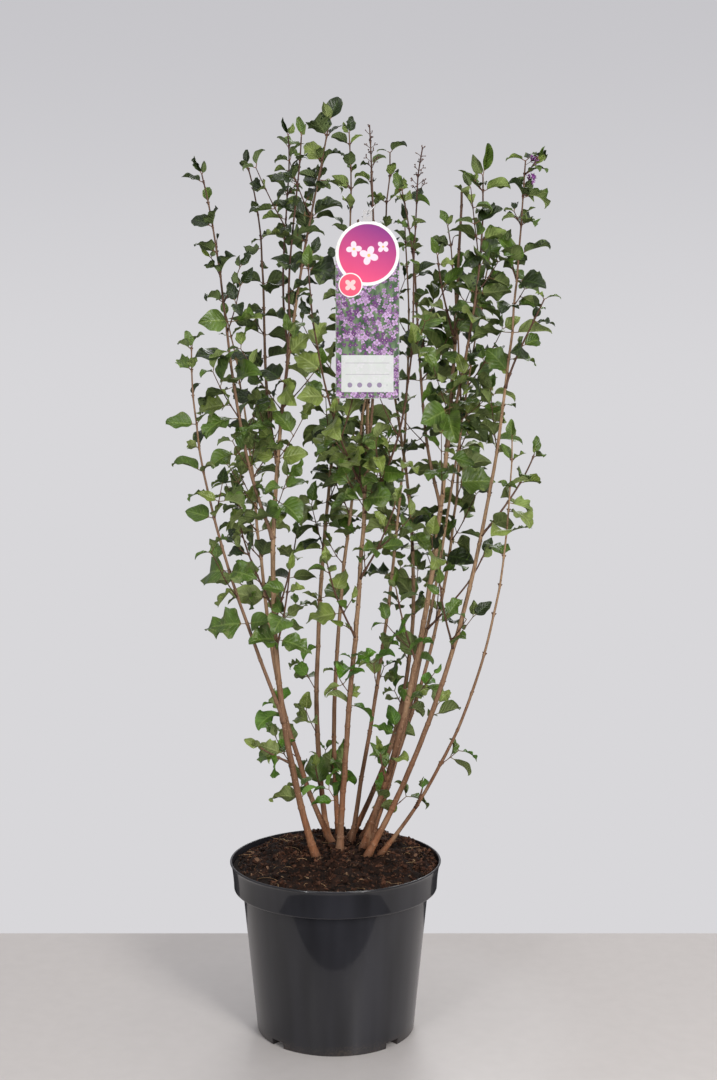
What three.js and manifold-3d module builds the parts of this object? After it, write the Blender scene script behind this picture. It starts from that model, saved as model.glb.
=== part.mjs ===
// A dwarf lilac bush of twelve canes in a round nursery pot.
//
// Millimetres, +Z up. The origin is the centre of the pot's flat underside and +Y is the back.
// Canes rise from the soil crown, boughs leave the canes, and every mass of foliage is one leader
// with side twigs and opposite pairs of leaves, grown by a seeded rule and fused into one solid.
// Neighbouring pieces that touch in life stand CLEARANCE apart.

import * as THREE from 'three';
import { mergeVertices } from 'three/addons/utils/BufferGeometryUtils.js';
import Module from 'manifold-3d';

const wasm = await Module();
wasm.setup();

// ---------------------------------------------------------------- driving dimensions

const CLEARANCE = 0.3;

const POT = {
  height: 262,
  rimRadius: 160,
  rimFootRadius: 154,
  rimHeight: 43,
  lipChamfer: 1,
  shoulderRadius: 141,
  baseRadius: 120,
  baseChamfer: 2,
  wall: 3,
  floor: 12,
  sides: 36,
  channelWidth: 24,
  channelHeight: 10,
  channelInnerRadius: 62,
};

// The crown is the flat top of the mound that carries the canes. The mound's side swells a little
// above the straight line from the edge to the crown.
const SOIL = {
  edgeHeight: 253,
  crownHeight: 268,
  crownRadius: 84,
  crownCentre: [17, 40],
  swell: 0.62,
  slack: 0.2,
};

const TAG = {
  width: 90,
  length: 203,
  thickness: 1.2,
  cornerRadius: 4,
  cornerSteps: 5,
  neckWidth: 13,
  neckHeight: 15,
  eyeletRadius: 3,
  eyeletEdge: 3,
  tieHeight: 1224,
  turn: -4,
  tieRadius: 8,
  tieThickness: 1.6,
  tieLean: 45,
  eyeletTurn: 22,
  shownDepth: 90,
  shownMargin: 3,
};

// A cane leaves the soil at its foot and ends at its tip. Leans are millimetres sideways for each
// millimetre of rise. The bare share is clean limb, and the rest is the leader of the cane's own
// mass of leaves. A cane that is bare to 1 was cut back.
const CANES = [
  // name, foot (x, y), tip (x, y, z), lean at the foot, lean at the tip, radius, bare share
  ['cane_01', [-30, -8], [2, -50, 1392], [-0.3, -0.12], [0.21, 0.05], 5.9, 0.72],
  ['cane_02', [-8, 70], [-176, 130, 1108], [-0.5, 0.1], [-0.28, 0.05], 4.6, 0.44],
  ['cane_03', [-14, 98], [19, 185, 1395], [-0.16, 0.15], [-0.07, 0], 4.8, 0.32],
  ['cane_04', [4, 100], [84, 100, 1350], [-0.1, 0.1], [0.03, -0.15], 4.2, 0.34],
  ['cane_05', [6, 24], [34, -40, 1215], [0.05, -0.02], [-0.12, -0.06], 5.6, 1],
  ['cane_06', [24, 104], [56, 215, 1343], [0.58, 0.18], [0.03, 0.05], 4.6, 0.32],
  ['cane_07', [42, 92], [172, 205, 1255], [0.5, 0.3], [-0.15, 0.05], 4.0, 0.36],
  ['cane_08', [24, 76], [104, 150, 1257], [0.17, 0.1], [-0.09, 0.05], 4.0, 0.33],
  ['cane_09', [42, 30], [187, 30, 1262], [0.36, 0], [0.03, 0], 6.4, 1],
  ['cane_10', [52, 58], [246, 130, 1222], [0.36, 0.12], [0.2, 0.05], 5.6, 0.6],
  ['cane_11', [50, -2], [273, -60, 1322], [0.51, -0.1], [0.06, 0], 5.6, 0.7],
  ['cane_12', [70, 4], [253, -110, 932], [0.73, -0.25], [0.01, -0.1], 3.9, 0.55],
].map(([name, foot, tip, lean, endLean, radius, bare]) => ({ name, foot, tip, lean, endLean, radius, bare }));

// A bough leaves its parent cane at a height, and is a limb for its bare share.
const BOUGHS = [
  // name, parent, height on it, tip (x, y, z), lean at the root, lean at the tip, radius, bare share
  ['bough_left_low', 'cane_01', 479, [-197, -120, 1061], [-0.35, -0.2], [0.08, -0.15], 3.4, 0.22],
  ['bough_left_tall', 'cane_01', 756, [-192, -80, 1301], [-0.4, -0.15], [-0.27, -0.05], 3.2, 0.25],
  ['bough_left_inner', 'cane_01', 867, [-140, 96, 1331], [-0.26, 0.4], [-0.34, 0], 2.9, 0.22],
  ['bough_middle', 'cane_09', 796, [92, 44, 1293], [-0.3, 0.2], [-0.3, -0.15], 2.9, 0.24],
  ['bough_right', 'cane_09', 886, [211, -22, 1326], [0.2, -0.3], [-0.09, 0.15], 2.9, 0.24],
  ['bough_tagged', 'cane_05', 850, [50, -92, 1345], [0.12, -0.35], [-0.05, 0.05], 2.8, 0.76],
].map(([name, parent, height, tip, lean, endLean, radius, bare]) => (
  { name, parent, height, tip, lean, endLean, radius, bare }));

// A spray is a side shoot that is leafy from its root on. One with no lean stated arches evenly.
const SPRAY_RADIUS = 1.9;
const SPRAYS = [
  // name, parent, height on it, tip (x, y, z), lean at the root, lean at the tip
  ['spray_low_left', 'cane_01', 415, [-128, -40, 462]],
  ['spray_low_front', 'cane_03', 330, [-34, 66, 408]],
  ['spray_low_middle', 'cane_09', 372, [66, -14, 452]],
  ['spray_low_right', 'cane_12', 345, [132, -62, 408]],
  ['spray_left_front', 'cane_01', 590, [-62, -96, 740]],
  ['spray_left_back', 'cane_01', 650, [-148, 22, 800]],
  ['spray_left_high', 'cane_01', 930, [-62, -118, 1080]],
  ['spray_centre_left', 'cane_05', 600, [-14, -66, 745]],
  ['spray_centre_right', 'cane_05', 690, [92, -62, 835]],
  ['spray_centre_high', 'cane_05', 1010, [2, 44, 1150]],
  ['spray_inner', 'cane_09', 560, [88, 28, 700]],
  ['spray_inner_high', 'cane_09', 1040, [146, -48, 1190]],
  ['spray_right_low', 'cane_11', 590, [150, -104, 720]],
  ['spray_right_middle', 'cane_11', 760, [298, -34, 905]],
  ['spray_back_left', 'cane_02', 585, [-62, 168, 762], [0.3, 0.5]],
  ['spray_right_back', 'cane_10', 600, [236, 74, 745]],
  ['spray_right_tip', 'cane_11', 975, [304, -96, 1118], [0.24, -0.2], [0.41, 0]],
  ['spray_fork_back', 'cane_01', 1030, [-73, 50, 1374], [-0.23, 0.35], [-0.14, 0]],
  ['spray_fork_front', 'cane_01', 1050, [-44, -96, 1352], [-0.1, -0.3], [0, 0]],
  ['spray_front_right', 'cane_05', 790, [124, -128, 1310], [0.6, -0.35], [0.18, 0]],
  ['spray_front_left', 'cane_05', 820, [-36, -136, 1172], [-0.5, -0.4], [-0.05, 0]],
].map(([name, parent, height, tip, lean, endLean]) => (
  { name, parent, height, tip, lean, endLean, radius: SPRAY_RADIUS, bare: 0 }));

const BLOOMING = ['bough_tagged', 'cane_11', 'spray_front_right'];

// How a shoot tapers, and how a spray with no lean stated leaves its parent and arrives at its tip.
const SHOOT = {
  tipRadius: 1.1,
  taperPower: 1.1,
  cutBackTaper: 0.4,
  arch: 1.5,
  arrival: 0.2,
  seatPasses: 5,
  seatReach: 6,
};
const LIMB = {
  caneSides: 7,
  boughSides: 5,
  caneRows: 9,
  boughRows: 5,
  caneRowPower: 1.6,
  flare: 2.6,
  flareHeight: 16,
};
const LEADER = { sides: 3, rowLength: 120, endBud: 36, leastInBuds: 2.4, gap: 1.5 * CLEARANCE };
const TWIG = {
  sides: 3,
  radius: 1.1,
  endRadius: 0.825,
  shortest: 55,
  longest: 90,
  chance: 0.22,
  lastShare: 0.65,
  leastLeader: 250,
  angle: 42,
  rise: 0.18,
  leafAngle: 62,
  leafShare: 0.72,
  endLeafShare: 0.85,
  pairs: [[0.45, 0.4], [0.85, 1.9]],
};

// Pairs of leaves sit at nodes, an internode apart, each pair about square to the last.
const NODE = { internode: 67, least: 2, first: 0.75, power: 0.92, turnSpread: 18, size: 6, pairOffset: 0.45 };
const LEAF = {
  large: 63,
  small: 40,
  leastSize: 0.84,
  mostSize: 1.12,
  halfWidth: 0.36,
  widestAt: 0.45,
  sunk: 0.01,
  thickness: 0.045,
  fold: 0.13,
  droop: 0.12,
  angleLow: 74,
  angleHigh: 48,
  facing: 0.35,
  roll: 55,
  mostSag: 0.6,
  endFacing: [0.3, -1, 0.2],
};
const LEAF_TRIES = [
  // turned aside, raised (degrees) and scaled
  [0, 0, 1],
  [28, 0, 1],
  [-28, 0, 1],
  [0, 25, 0.9],
  [0, -25, 0.9],
  [50, 10, 0.75],
  [-50, 10, 0.75],
  [0, 35, 0.6],
];
const FLORET = {
  radius: 4.6,
  endShare: 0.7,
  pairs: 4,
  spacing: 10,
  turn: 1.6,
  angle: 80,
  sunk: 0.8,
  beadTurn: 0.3,
};

const COLOURS = {
  pot: { color: 0x2b2d31, roughness: 0.42, metalness: 0 },
  soil: { color: 0x3a2419, roughness: 0.95, metalness: 0 },
  tag: { color: 0xb455a0, roughness: 0.35, metalness: 0 },
  tie: { color: 0xd8d8d8, roughness: 0.4, metalness: 0 },
  cane: { color: 0x96694b, roughness: 0.8, metalness: 0 },
  bough: { color: 0x6e5549, roughness: 0.8, metalness: 0 },
  leaf: { color: 0x4a6b33, roughness: 0.6, metalness: 0 },
};

// ---------------------------------------------------------------- small helpers

const UP = new THREE.Vector3(0, 0, 1);
const radians = THREE.MathUtils.degToRad;
const lerp = THREE.MathUtils.lerp;

/** A repeatable stream of numbers from 0 to 1. */
function seeded(seed) {
  let state = seed >>> 0;
  return () => {
    state = (state + 0x6d2b79f5) >>> 0;
    let word = state;
    word = Math.imul(word ^ (word >>> 15), word | 1);
    word ^= word + Math.imul(word ^ (word >>> 7), word | 61);
    return ((word ^ (word >>> 14)) >>> 0) / 4294967296;
  };
}

/** A closed geometry as a solid: shared vertices are merged, and faces that shrink to a line go. */
function toSolid(geometry) {
  const bare = geometry.clone();
  bare.deleteAttribute('normal');
  bare.deleteAttribute('uv');
  const closed = mergeVertices(bare, 1e-4);
  const faces = [];
  for (let i = 0; i < closed.index.count; i += 3) {
    const [a, b, c] = [0, 1, 2].map((corner) => closed.index.getX(i + corner));
    if (a !== b && b !== c && c !== a) faces.push(a, b, c);
  }
  return new wasm.Manifold(new wasm.Mesh({
    numProp: 3,
    vertProperties: new Float32Array(closed.attributes.position.array),
    triVerts: new Uint32Array(faces),
  }));
}

function toGeometry(solid) {
  const mesh = solid.getMesh();
  const geometry = new THREE.BufferGeometry();
  geometry.setAttribute('position', new THREE.BufferAttribute(new Float32Array(mesh.vertProperties), 3));
  geometry.setIndex(new THREE.BufferAttribute(new Uint32Array(mesh.triVerts), 1));
  geometry.computeVertexNormals();
  return geometry;
}

const plant = new THREE.Group();

function addNode(name, solid, finish) {
  const mesh = new THREE.Mesh(toGeometry(solid), new THREE.MeshStandardMaterial(finish));
  mesh.name = name;
  plant.add(mesh);
}

// ---------------------------------------------------------------- pot and soil

/** A solid turned about Z from a list of radius and height. */
function turned(profile) {
  const points = profile.map(([radius, height]) => new THREE.Vector2(radius, height));
  return new THREE.LatheGeometry(points, POT.sides).rotateX(Math.PI / 2);
}

/** The pot: a tapered wall, a shoulder, a wide rim band and a flat floor with drainage channels. */
function potSolid() {
  const rimFoot = POT.height - POT.rimHeight;
  let solid = toSolid(turned([
    [0, 0],
    [POT.baseRadius - POT.baseChamfer, 0],
    [POT.baseRadius, POT.baseChamfer],
    [POT.shoulderRadius, rimFoot],
    [POT.rimFootRadius, rimFoot],
    [POT.rimRadius, POT.height - POT.lipChamfer],
    [POT.rimRadius - POT.lipChamfer, POT.height],
    [POT.rimRadius - POT.wall, POT.height],
    [POT.rimFootRadius - POT.wall, rimFoot + POT.wall],
    [POT.shoulderRadius - POT.wall, rimFoot],
    [POT.baseRadius - POT.wall, POT.floor],
    [0, POT.floor],
  ]));
  const channelLength = POT.rimRadius - POT.channelInnerRadius;
  for (let quarter = 0; quarter < 4; quarter++) {
    const channel = new THREE.BoxGeometry(channelLength, POT.channelWidth, 2 * POT.channelHeight);
    channel.translate(POT.channelInnerRadius + channelLength / 2, 0, 0);
    channel.rotateZ(radians(45 + 90 * quarter));
    solid = solid.subtract(toSolid(channel));
  }
  return solid;
}

/** The root ball: it fills the pot and rises to a flat crown that lies a little off the pot's axis. */
function soilSolid() {
  const rimFoot = POT.height - POT.rimHeight;
  const inside = (radius) => radius - POT.wall - CLEARANCE - SOIL.slack;
  const rimShare = (SOIL.edgeHeight - rimFoot) / POT.rimHeight;
  const edgeRadius = inside(lerp(POT.rimFootRadius, POT.rimRadius, rimShare));
  const swellHeight = lerp(SOIL.edgeHeight, SOIL.crownHeight, SOIL.swell);
  const geometry = turned([
    [0, POT.floor + CLEARANCE],
    [inside(POT.baseRadius), POT.floor + CLEARANCE],
    [inside(POT.shoulderRadius), rimFoot + CLEARANCE],
    [inside(POT.rimFootRadius), rimFoot + POT.wall + CLEARANCE],
    [edgeRadius, SOIL.edgeHeight],
    [lerp(edgeRadius, SOIL.crownRadius, 0.5), swellHeight],
    [SOIL.crownRadius, SOIL.crownHeight],
    [0, SOIL.crownHeight],
  ]);
  const place = geometry.attributes.position;
  for (let i = 0; i < place.count; i++) {
    const rise = (place.getZ(i) - SOIL.edgeHeight) / (SOIL.crownHeight - SOIL.edgeHeight);
    const shift = Math.max(0, rise);
    place.setX(i, place.getX(i) + SOIL.crownCentre[0] * shift);
    place.setY(i, place.getY(i) + SOIL.crownCentre[1] * shift);
  }
  return toSolid(geometry);
}

// ---------------------------------------------------------------- tag and its strap

/** A closed outline's points, with none given twice. */
function distinctPoints(outline) {
  const points = outline.getPoints(TAG.cornerSteps);
  return points.filter((point, i) => point.distanceTo(points.at(i - 1)) > 0.01);
}

/** The tag: a card with a round head, and a neck whose eyelet is at the given point. */
function tagSolid(eyelet) {
  const half = TAG.width / 2;
  const neck = TAG.neckWidth / 2;
  const neckTop = TAG.eyeletRadius + TAG.eyeletEdge;
  const neckFoot = neckTop - TAG.neckHeight;
  const headCentre = neckFoot - Math.sqrt(half * half - neck * neck);
  const foot = headCentre - TAG.length;
  const neckAngle = Math.acos(neck / half);
  const corner = TAG.cornerRadius;
  const outline = new THREE.Shape();
  outline.moveTo(-half + corner, foot);
  outline.lineTo(half - corner, foot);
  outline.absarc(half - corner, foot + corner, corner, -Math.PI / 2, 0);
  outline.lineTo(half, headCentre);
  outline.absarc(0, headCentre, half, 0, neckAngle);
  outline.lineTo(neck, neckTop);
  outline.lineTo(-neck, neckTop);
  outline.lineTo(-neck, neckFoot);
  outline.absarc(0, headCentre, half, Math.PI - neckAngle, Math.PI);
  outline.lineTo(-half, foot + corner);
  outline.absarc(-half + corner, foot + corner, corner, Math.PI, 1.5 * Math.PI);
  const hole = new THREE.Path();
  hole.absarc(0, 0, TAG.eyeletRadius, 0, 2 * Math.PI, true);
  const face = new THREE.Shape(distinctPoints(outline));
  face.holes.push(new THREE.Path(distinctPoints(hole)));
  const card = new THREE.ExtrudeGeometry(face, { depth: TAG.thickness, bevelEnabled: false });
  card.translate(0, 0, -TAG.thickness / 2);
  card.rotateX(Math.PI / 2);
  card.rotateZ(radians(TAG.turn));
  card.translate(eyelet.x, eyelet.y, eyelet.z);
  return toSolid(card);
}

/** The space in front of the tag, which the leaves leave free so that the tag shows. */
function tagSpace(eyelet) {
  const tall = TAG.length + TAG.width / 2 + TAG.neckHeight;
  const box = new THREE.BoxGeometry(TAG.width + 2 * TAG.shownMargin, TAG.shownDepth, tall);
  const back = eyelet.y + TAG.tieThickness;
  const top = eyelet.z + TAG.neckHeight;
  box.translate(eyelet.x, back - TAG.shownDepth / 2, top - tall / 2);
  return toSolid(box);
}

/** The strap around the bough, and the tag that hangs from it with its eyelet's edge on the strap. */
function tagAndTie(bough) {
  const share = shareAtHeight(bough.curve, TAG.tieHeight);
  const lean = radians(TAG.tieLean);
  const turn = radians(TAG.eyeletTurn);
  const centre = bough.curve.getPoint(share);
  centre.x += bough.radiusAt(share) + CLEARANCE + TAG.tieThickness / 2 - TAG.tieRadius * Math.cos(lean);
  const tie = toSolid(new THREE.TorusGeometry(TAG.tieRadius, TAG.tieThickness / 2, 6, 16)
    .rotateY(Math.PI - lean)
    .translate(centre.x, centre.y, centre.z));
  const eyelet = centre.clone().add(new THREE.Vector3(
    -TAG.tieRadius * Math.cos(lean) * Math.cos(turn),
    -TAG.tieRadius * Math.sin(turn),
    -TAG.tieRadius * Math.sin(lean) * Math.cos(turn),
  ));
  for (let pass = 0; pass < SHOOT.seatPasses; pass++) {
    eyelet.z -= tagSolid(eyelet).minGap(tie, SHOOT.seatReach) - CLEARANCE;
  }
  return { tie, tag: tagSolid(eyelet), space: tagSpace(eyelet) };
}

// ---------------------------------------------------------------- limbs

/** A rod bent along path(share), with a radius for each share of its length. */
function bentRod(path, radiusAt, sides, rows, { flatFoot = false, rowPower = 1 } = {}) {
  const rod = new THREE.CylinderGeometry(1, 1, 1, sides, rows);
  const place = rod.attributes.position;
  const chord = path(1).sub(path(0)).normalize();
  const reference = Math.abs(chord.y) < 0.8 ? new THREE.Vector3(0, 1, 0) : new THREE.Vector3(1, 0, 0);
  for (let i = 0; i < place.count; i++) {
    const share = Math.pow(Math.max(0, place.getY(i) + 0.5), rowPower);
    const centre = path(share);
    const along = path(Math.min(1, share + 0.01)).sub(path(Math.max(0, share - 0.01))).normalize();
    if (flatFoot && share < 1e-6) along.copy(UP);
    const across = new THREE.Vector3().crossVectors(reference, along).normalize();
    const aside = new THREE.Vector3().crossVectors(across, along);
    const radius = radiusAt(share);
    centre.addScaledVector(across, place.getX(i) * radius);
    centre.addScaledVector(aside, place.getZ(i) * radius);
    place.setXYZ(i, centre.x, centre.y, centre.z);
  }
  return toSolid(rod);
}

/** A cubic curve from a root to a tip that leaves and arrives with the given leans. */
function shootCurve(root, tip, lean, endLean) {
  const third = (tip.z - root.z) / 3;
  const leave = new THREE.Vector3(lean[0], lean[1], 1).multiplyScalar(third);
  const arrive = new THREE.Vector3(endLean[0], endLean[1], 1).multiplyScalar(-third);
  return new THREE.CubicBezierCurve3(root, root.clone().add(leave), tip.clone().add(arrive), tip);
}

/** The share of a shoot at which it passes a height. */
function shareAtHeight(curve, height) {
  let low = 0;
  let high = 1;
  for (let step = 0; step < 30; step++) {
    const middle = (low + high) / 2;
    if (curve.getPoint(middle).z < height) low = middle;
    else high = middle;
  }
  return low;
}

/** A shoot's line and its radius along it. A side shoot is brought closer to its parent by a length. */
function shootOf(row, parent, closer) {
  const tip = new THREE.Vector3(...row.tip);
  let root;
  let lean = row.lean;
  if (parent) {
    const share = shareAtHeight(parent.curve, row.height);
    root = parent.curve.getPoint(share);
    const rise = tip.z - root.z;
    lean ??= [SHOOT.arch * (tip.x - root.x) / rise, SHOOT.arch * (tip.y - root.y) / rise];
    const parentLean = parent.curve.getTangent(share);
    const away = new THREE.Vector3(lean[0] - parentLean.x, lean[1] - parentLean.y, 0).normalize();
    const tilt = Math.atan(Math.hypot(lean[0], lean[1]));
    const apart = parent.radiusAt(share) + row.radius * Math.cos(tilt) + 2 * CLEARANCE;
    root.addScaledVector(away, apart - closer);
  } else {
    root = new THREE.Vector3(row.foot[0], row.foot[1], SOIL.crownHeight + CLEARANCE);
  }
  const endLean = row.endLean ?? [lean[0] * SHOOT.arrival, lean[1] * SHOOT.arrival];
  const curve = shootCurve(root, tip, lean, endLean);
  const taper = row.bare === 1 ? SHOOT.cutBackTaper : 1;
  const radiusAt = (share) => {
    const height = curve.getPoint(share).z - root.z;
    const flare = row.foot ? LIMB.flare * Math.exp(-height / LIMB.flareHeight) : 0;
    return lerp(row.radius, SHOOT.tipRadius, taper * Math.pow(share, SHOOT.taperPower)) + flare;
  };
  return { ...row, curve, radiusAt };
}

/** The clean limb of a cane or bough. */
function limbSolid(shoot) {
  const isCane = Boolean(shoot.foot);
  const path = (share) => shoot.curve.getPoint(share * shoot.bare);
  const radiusAt = (share) => shoot.radiusAt(share * shoot.bare);
  const sides = isCane ? LIMB.caneSides : LIMB.boughSides;
  const rows = isCane ? LIMB.caneRows : LIMB.boughRows;
  const rowPower = isCane ? LIMB.caneRowPower : 1;
  return bentRod(path, radiusAt, sides, rows, { flatFoot: isCane, rowPower });
}

/** The line through a rod's row centres, so that what grows from it is rooted on the rod's axis. */
function alongRows(points) {
  const last = points.length - 1;
  return (share) => {
    const row = Math.min(last - 1, Math.max(0, Math.floor(share * last)));
    return points[row].clone().lerp(points[row + 1], share * last - row);
  };
}

/** The leader: the leafy stem that runs on from a limb's tip, or from the side of a cane. */
function leaderOf(shoot) {
  const length = shoot.curve.getLength() * (1 - shoot.bare);
  const gap = shoot.bare > 0 ? LEADER.gap / length : 0;
  const start = shoot.bare + gap * (1 - shoot.bare);
  const endBud = LEADER.endBud / Math.max(length, LEADER.leastInBuds * LEADER.endBud);
  const end = 1 - (1 - shoot.bare) * endBud;
  const rows = Math.max(2, Math.round(length / LEADER.rowLength));
  const rowPoints = [];
  for (let row = 0; row <= rows; row++) {
    rowPoints.push(shoot.curve.getPoint(lerp(start, end, row / rows)));
  }
  const path = alongRows(rowPoints);
  const radiusAt = (share) => shoot.radiusAt(lerp(start, end, share));
  return { path, length, stem: bentRod(path, radiusAt, LEADER.sides, rows) };
}

const shoots = new Map();
const limbs = new Map();

/** Works a shoot out, and seats a side shoot until its root stands CLEARANCE from its parent limb. */
function addShoot(row) {
  const parent = shoots.get(row.parent);
  const rootSolid = (shoot) => (shoot.bare > 0 ? limbSolid(shoot) : leaderOf(shoot).stem);
  let shoot = shootOf(row, parent, 0);
  let closer = 0;
  for (let pass = 0; parent && pass < SHOOT.seatPasses; pass++) {
    closer += rootSolid(shoot).minGap(limbs.get(row.parent), SHOOT.seatReach) - CLEARANCE;
    shoot = shootOf(row, parent, closer);
  }
  shoots.set(row.name, shoot);
  if (row.bare > 0) limbs.set(row.name, limbSolid(shoot));
}

// ---------------------------------------------------------------- foliage

/** One blade: a kite with a folded midrib and a drooping tip, its root sunk in the stem. */
function leafSolid(root, along, up, length) {
  const upward = up.clone().addScaledVector(along, -up.dot(along)).normalize();
  const across = new THREE.Vector3().crossVectors(upward, along);
  const blade = new THREE.OctahedronGeometry(1, 0);
  const place = blade.attributes.position;
  for (let i = 0; i < place.count; i++) {
    const [end, side, face] = [place.getX(i), place.getY(i), place.getZ(i)];
    const reach = lerp(LEAF.widestAt, end > 0 ? 1 : -LEAF.sunk, Math.abs(end));
    const sides = Math.abs(side) * LEAF.fold;
    const lift = sides - Math.max(0, end) * LEAF.droop + face * LEAF.thickness / 2;
    const spot = root.clone().addScaledVector(along, reach * length);
    spot.addScaledVector(across, side * LEAF.halfWidth * length);
    spot.addScaledVector(upward, lift * length);
    place.setXYZ(i, spot.x, spot.y, spot.z);
  }
  return toSolid(blade);
}

/** A floret cluster: a small faceted bead sunk in the flower stalk. */
function floretSolid(centre, radius, turn) {
  const bead = new THREE.OctahedronGeometry(radius, 0).rotateX(turn).rotateZ(2 * turn);
  return toSolid(bead.translate(centre.x, centre.y, centre.z));
}

/** The direction at an angle off the stem, on the side that the turn points to. */
function branchDirection(along, turn, angle) {
  const across = new THREE.Vector3().crossVectors(new THREE.Vector3(0, 1, 0.01), along).normalize();
  const aside = new THREE.Vector3().crossVectors(along, across);
  const side = across.multiplyScalar(Math.cos(turn)).addScaledVector(aside, Math.sin(turn));
  return along.clone().multiplyScalar(Math.cos(angle)).addScaledVector(side, Math.sin(angle));
}

/** The direction of a path at a share of it. */
function directionAt(path, share, step) {
  return path(Math.min(1, share + step)).sub(path(share - step)).normalize();
}

const placed = [];

function boxOf(solid) {
  const { min, max } = solid.boundingBox();
  return new THREE.Box3(new THREE.Vector3(...min), new THREE.Vector3(...max));
}

/** Notes a solid that others have to stay clear of, with the point that it grows from. */
function keep(solid, owner, root) {
  placed.push({ solid, owner, root, box: boxOf(solid).expandByScalar(2 * CLEARANCE) });
}

/** True if a solid stays clear of all that is placed, but for what its own mass grows at its node. */
function isClear(solid, owner, root, stem) {
  const box = boxOf(solid);
  return placed.every((other) => {
    if (!other.box.intersectsBox(box) || other.solid === stem) return true;
    if (other.owner === owner && other.root.distanceTo(root) < NODE.size) return true;
    return solid.minGap(other.solid, 1) > 2 * CLEARANCE;
  });
}

/** Tries a leaf as it grows, then turned aside, raised and smaller, and keeps the first clear one. */
function dealLeaf(mass, stem, root, along, up, length) {
  for (const [aside, raise, size] of LEAF_TRIES) {
    const direction = along.clone().applyAxisAngle(UP, radians(aside));
    const hinge = new THREE.Vector3().crossVectors(direction, UP).normalize();
    direction.applyAxisAngle(hinge, radians(raise));
    const leaf = leafSolid(root, direction, up, length * size);
    if (!isClear(leaf, mass.name, root, stem)) continue;
    keep(leaf, mass.name, root);
    mass.solids.push(leaf);
    return;
  }
}

/** A pair of leaves, one on each side of a stem. */
function dealPair(mass, stem, root, along, turn, angle, length) {
  for (const side of [0, Math.PI]) {
    const direction = branchDirection(along, turn + side, angle);
    const size = length * lerp(LEAF.leastSize, LEAF.mostSize, mass.random());
    const roll = radians(lerp(-LEAF.roll, LEAF.roll, mass.random()));
    direction.z -= LEAF.mostSag * mass.random() * size / LEAF.large;
    direction.normalize();
    const up = UP.clone().addScaledVector(along, LEAF.facing).applyAxisAngle(direction, roll);
    const ownRoot = root.clone().addScaledVector(along, side ? -NODE.pairOffset : NODE.pairOffset);
    dealLeaf(mass, stem, ownRoot, direction, up, size);
  }
}

/** Starts the mass of leaves of a shoot with its leader. */
function startMass(shoot, seed) {
  const name = `leaves_${shoot.name}`;
  const { path, length, stem } = leaderOf(shoot);
  keep(stem, name, path(0));
  return { name, shoot, path, length, stem, solids: [stem], twigs: [], random: seeded(seed) };
}

/** The nodes along a leader: where each pair sits, which way it turns, and whether a twig grows. */
function nodesOf(mass) {
  const count = Math.max(NODE.least, Math.round(mass.length / NODE.internode));
  const nodes = [];
  let turn = mass.random() * 2 * Math.PI;
  for (let i = 0; i < count; i++) {
    const share = Math.pow((i + NODE.first) / count, NODE.power);
    turn += Math.PI / 2 + radians(lerp(-NODE.turnSpread, NODE.turnSpread, mass.random()));
    const isSuited = share < TWIG.lastShare && mass.length > TWIG.leastLeader;
    const growsTwig = mass.random() < TWIG.chance && isSuited;
    nodes.push({ share, turn, growsTwig });
  }
  return nodes;
}

/** A side twig, which rises towards its end. */
function growTwig(mass, root, along, turn) {
  const length = lerp(TWIG.shortest, TWIG.longest, mass.random());
  const direction = branchDirection(along, turn, radians(TWIG.angle));
  const rowPoints = [0, 0.5, 1].map((share) => root.clone()
    .addScaledVector(direction, share * length)
    .addScaledVector(UP, TWIG.rise * length * share * share));
  const path = alongRows(rowPoints);
  const radiusAt = (share) => lerp(TWIG.radius, TWIG.endRadius, share);
  const stem = bentRod(path, radiusAt, TWIG.sides, rowPoints.length - 1);
  if (!isClear(stem, mass.name, root, mass.stem)) return;
  keep(stem, mass.name, root);
  mass.solids.push(stem);
  mass.twigs.push({ path, stem });
}

/** The pairs of leaves along a twig, and one leaf that ends it. */
function leafTwig(mass, { path, stem }) {
  const size = LEAF.large * TWIG.leafShare;
  for (const [share, turn] of TWIG.pairs) {
    const along = directionAt(path, share, 0.05);
    dealPair(mass, stem, path(share), along, turn, radians(TWIG.leafAngle), size);
  }
  dealLeaf(mass, stem, path(0.99), directionAt(path, 0.9, 0.1), UP, size * TWIG.endLeafShare);
}

/** The pairs of leaves along the leader, smaller towards the tip, and one leaf that ends it. */
function leafLeader(mass) {
  for (const { share, turn } of mass.nodes) {
    const along = directionAt(mass.path, share, 0.02);
    const angle = radians(lerp(LEAF.angleLow, LEAF.angleHigh, share));
    const size = lerp(LEAF.large, LEAF.small, share * share);
    dealPair(mass, mass.stem, mass.path(share), along, turn, angle, size);
  }
  const root = mass.path(0.995);
  const reach = mass.shoot.curve.getPoint(1).sub(root);
  const facing = new THREE.Vector3(...LEAF.endFacing);
  dealLeaf(mass, mass.stem, root, reach.clone().normalize(), facing, reach.length());
}

/** A small open cluster of florets along the end of a leader. */
function bloomLeader(mass) {
  for (let pair = 0; pair < FLORET.pairs; pair++) {
    const share = Math.max(0, 1 - pair * FLORET.spacing / mass.length);
    const radius = FLORET.radius * lerp(FLORET.endShare, 1, pair / FLORET.pairs);
    const along = directionAt(mass.path, share, 0.05);
    for (const side of [0, Math.PI]) {
      const turn = pair * FLORET.turn + side;
      const sideways = branchDirection(along, turn, radians(FLORET.angle));
      const centre = mass.path(share).addScaledVector(sideways, radius * FLORET.sunk);
      const floret = floretSolid(centre, radius, turn + FLORET.beadTurn);
      if (isClear(floret, mass.name, mass.path(share), mass.stem)) mass.solids.push(floret);
    }
  }
}

/** Fuses a mass into one solid, and drops any scrap that is not its main body. */
function fuse(mass) {
  const bodies = wasm.Manifold.union(mass.solids).simplify(0.01).decompose();
  bodies.sort((one, other) => other.volume() - one.volume());
  return bodies[0];
}

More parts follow.
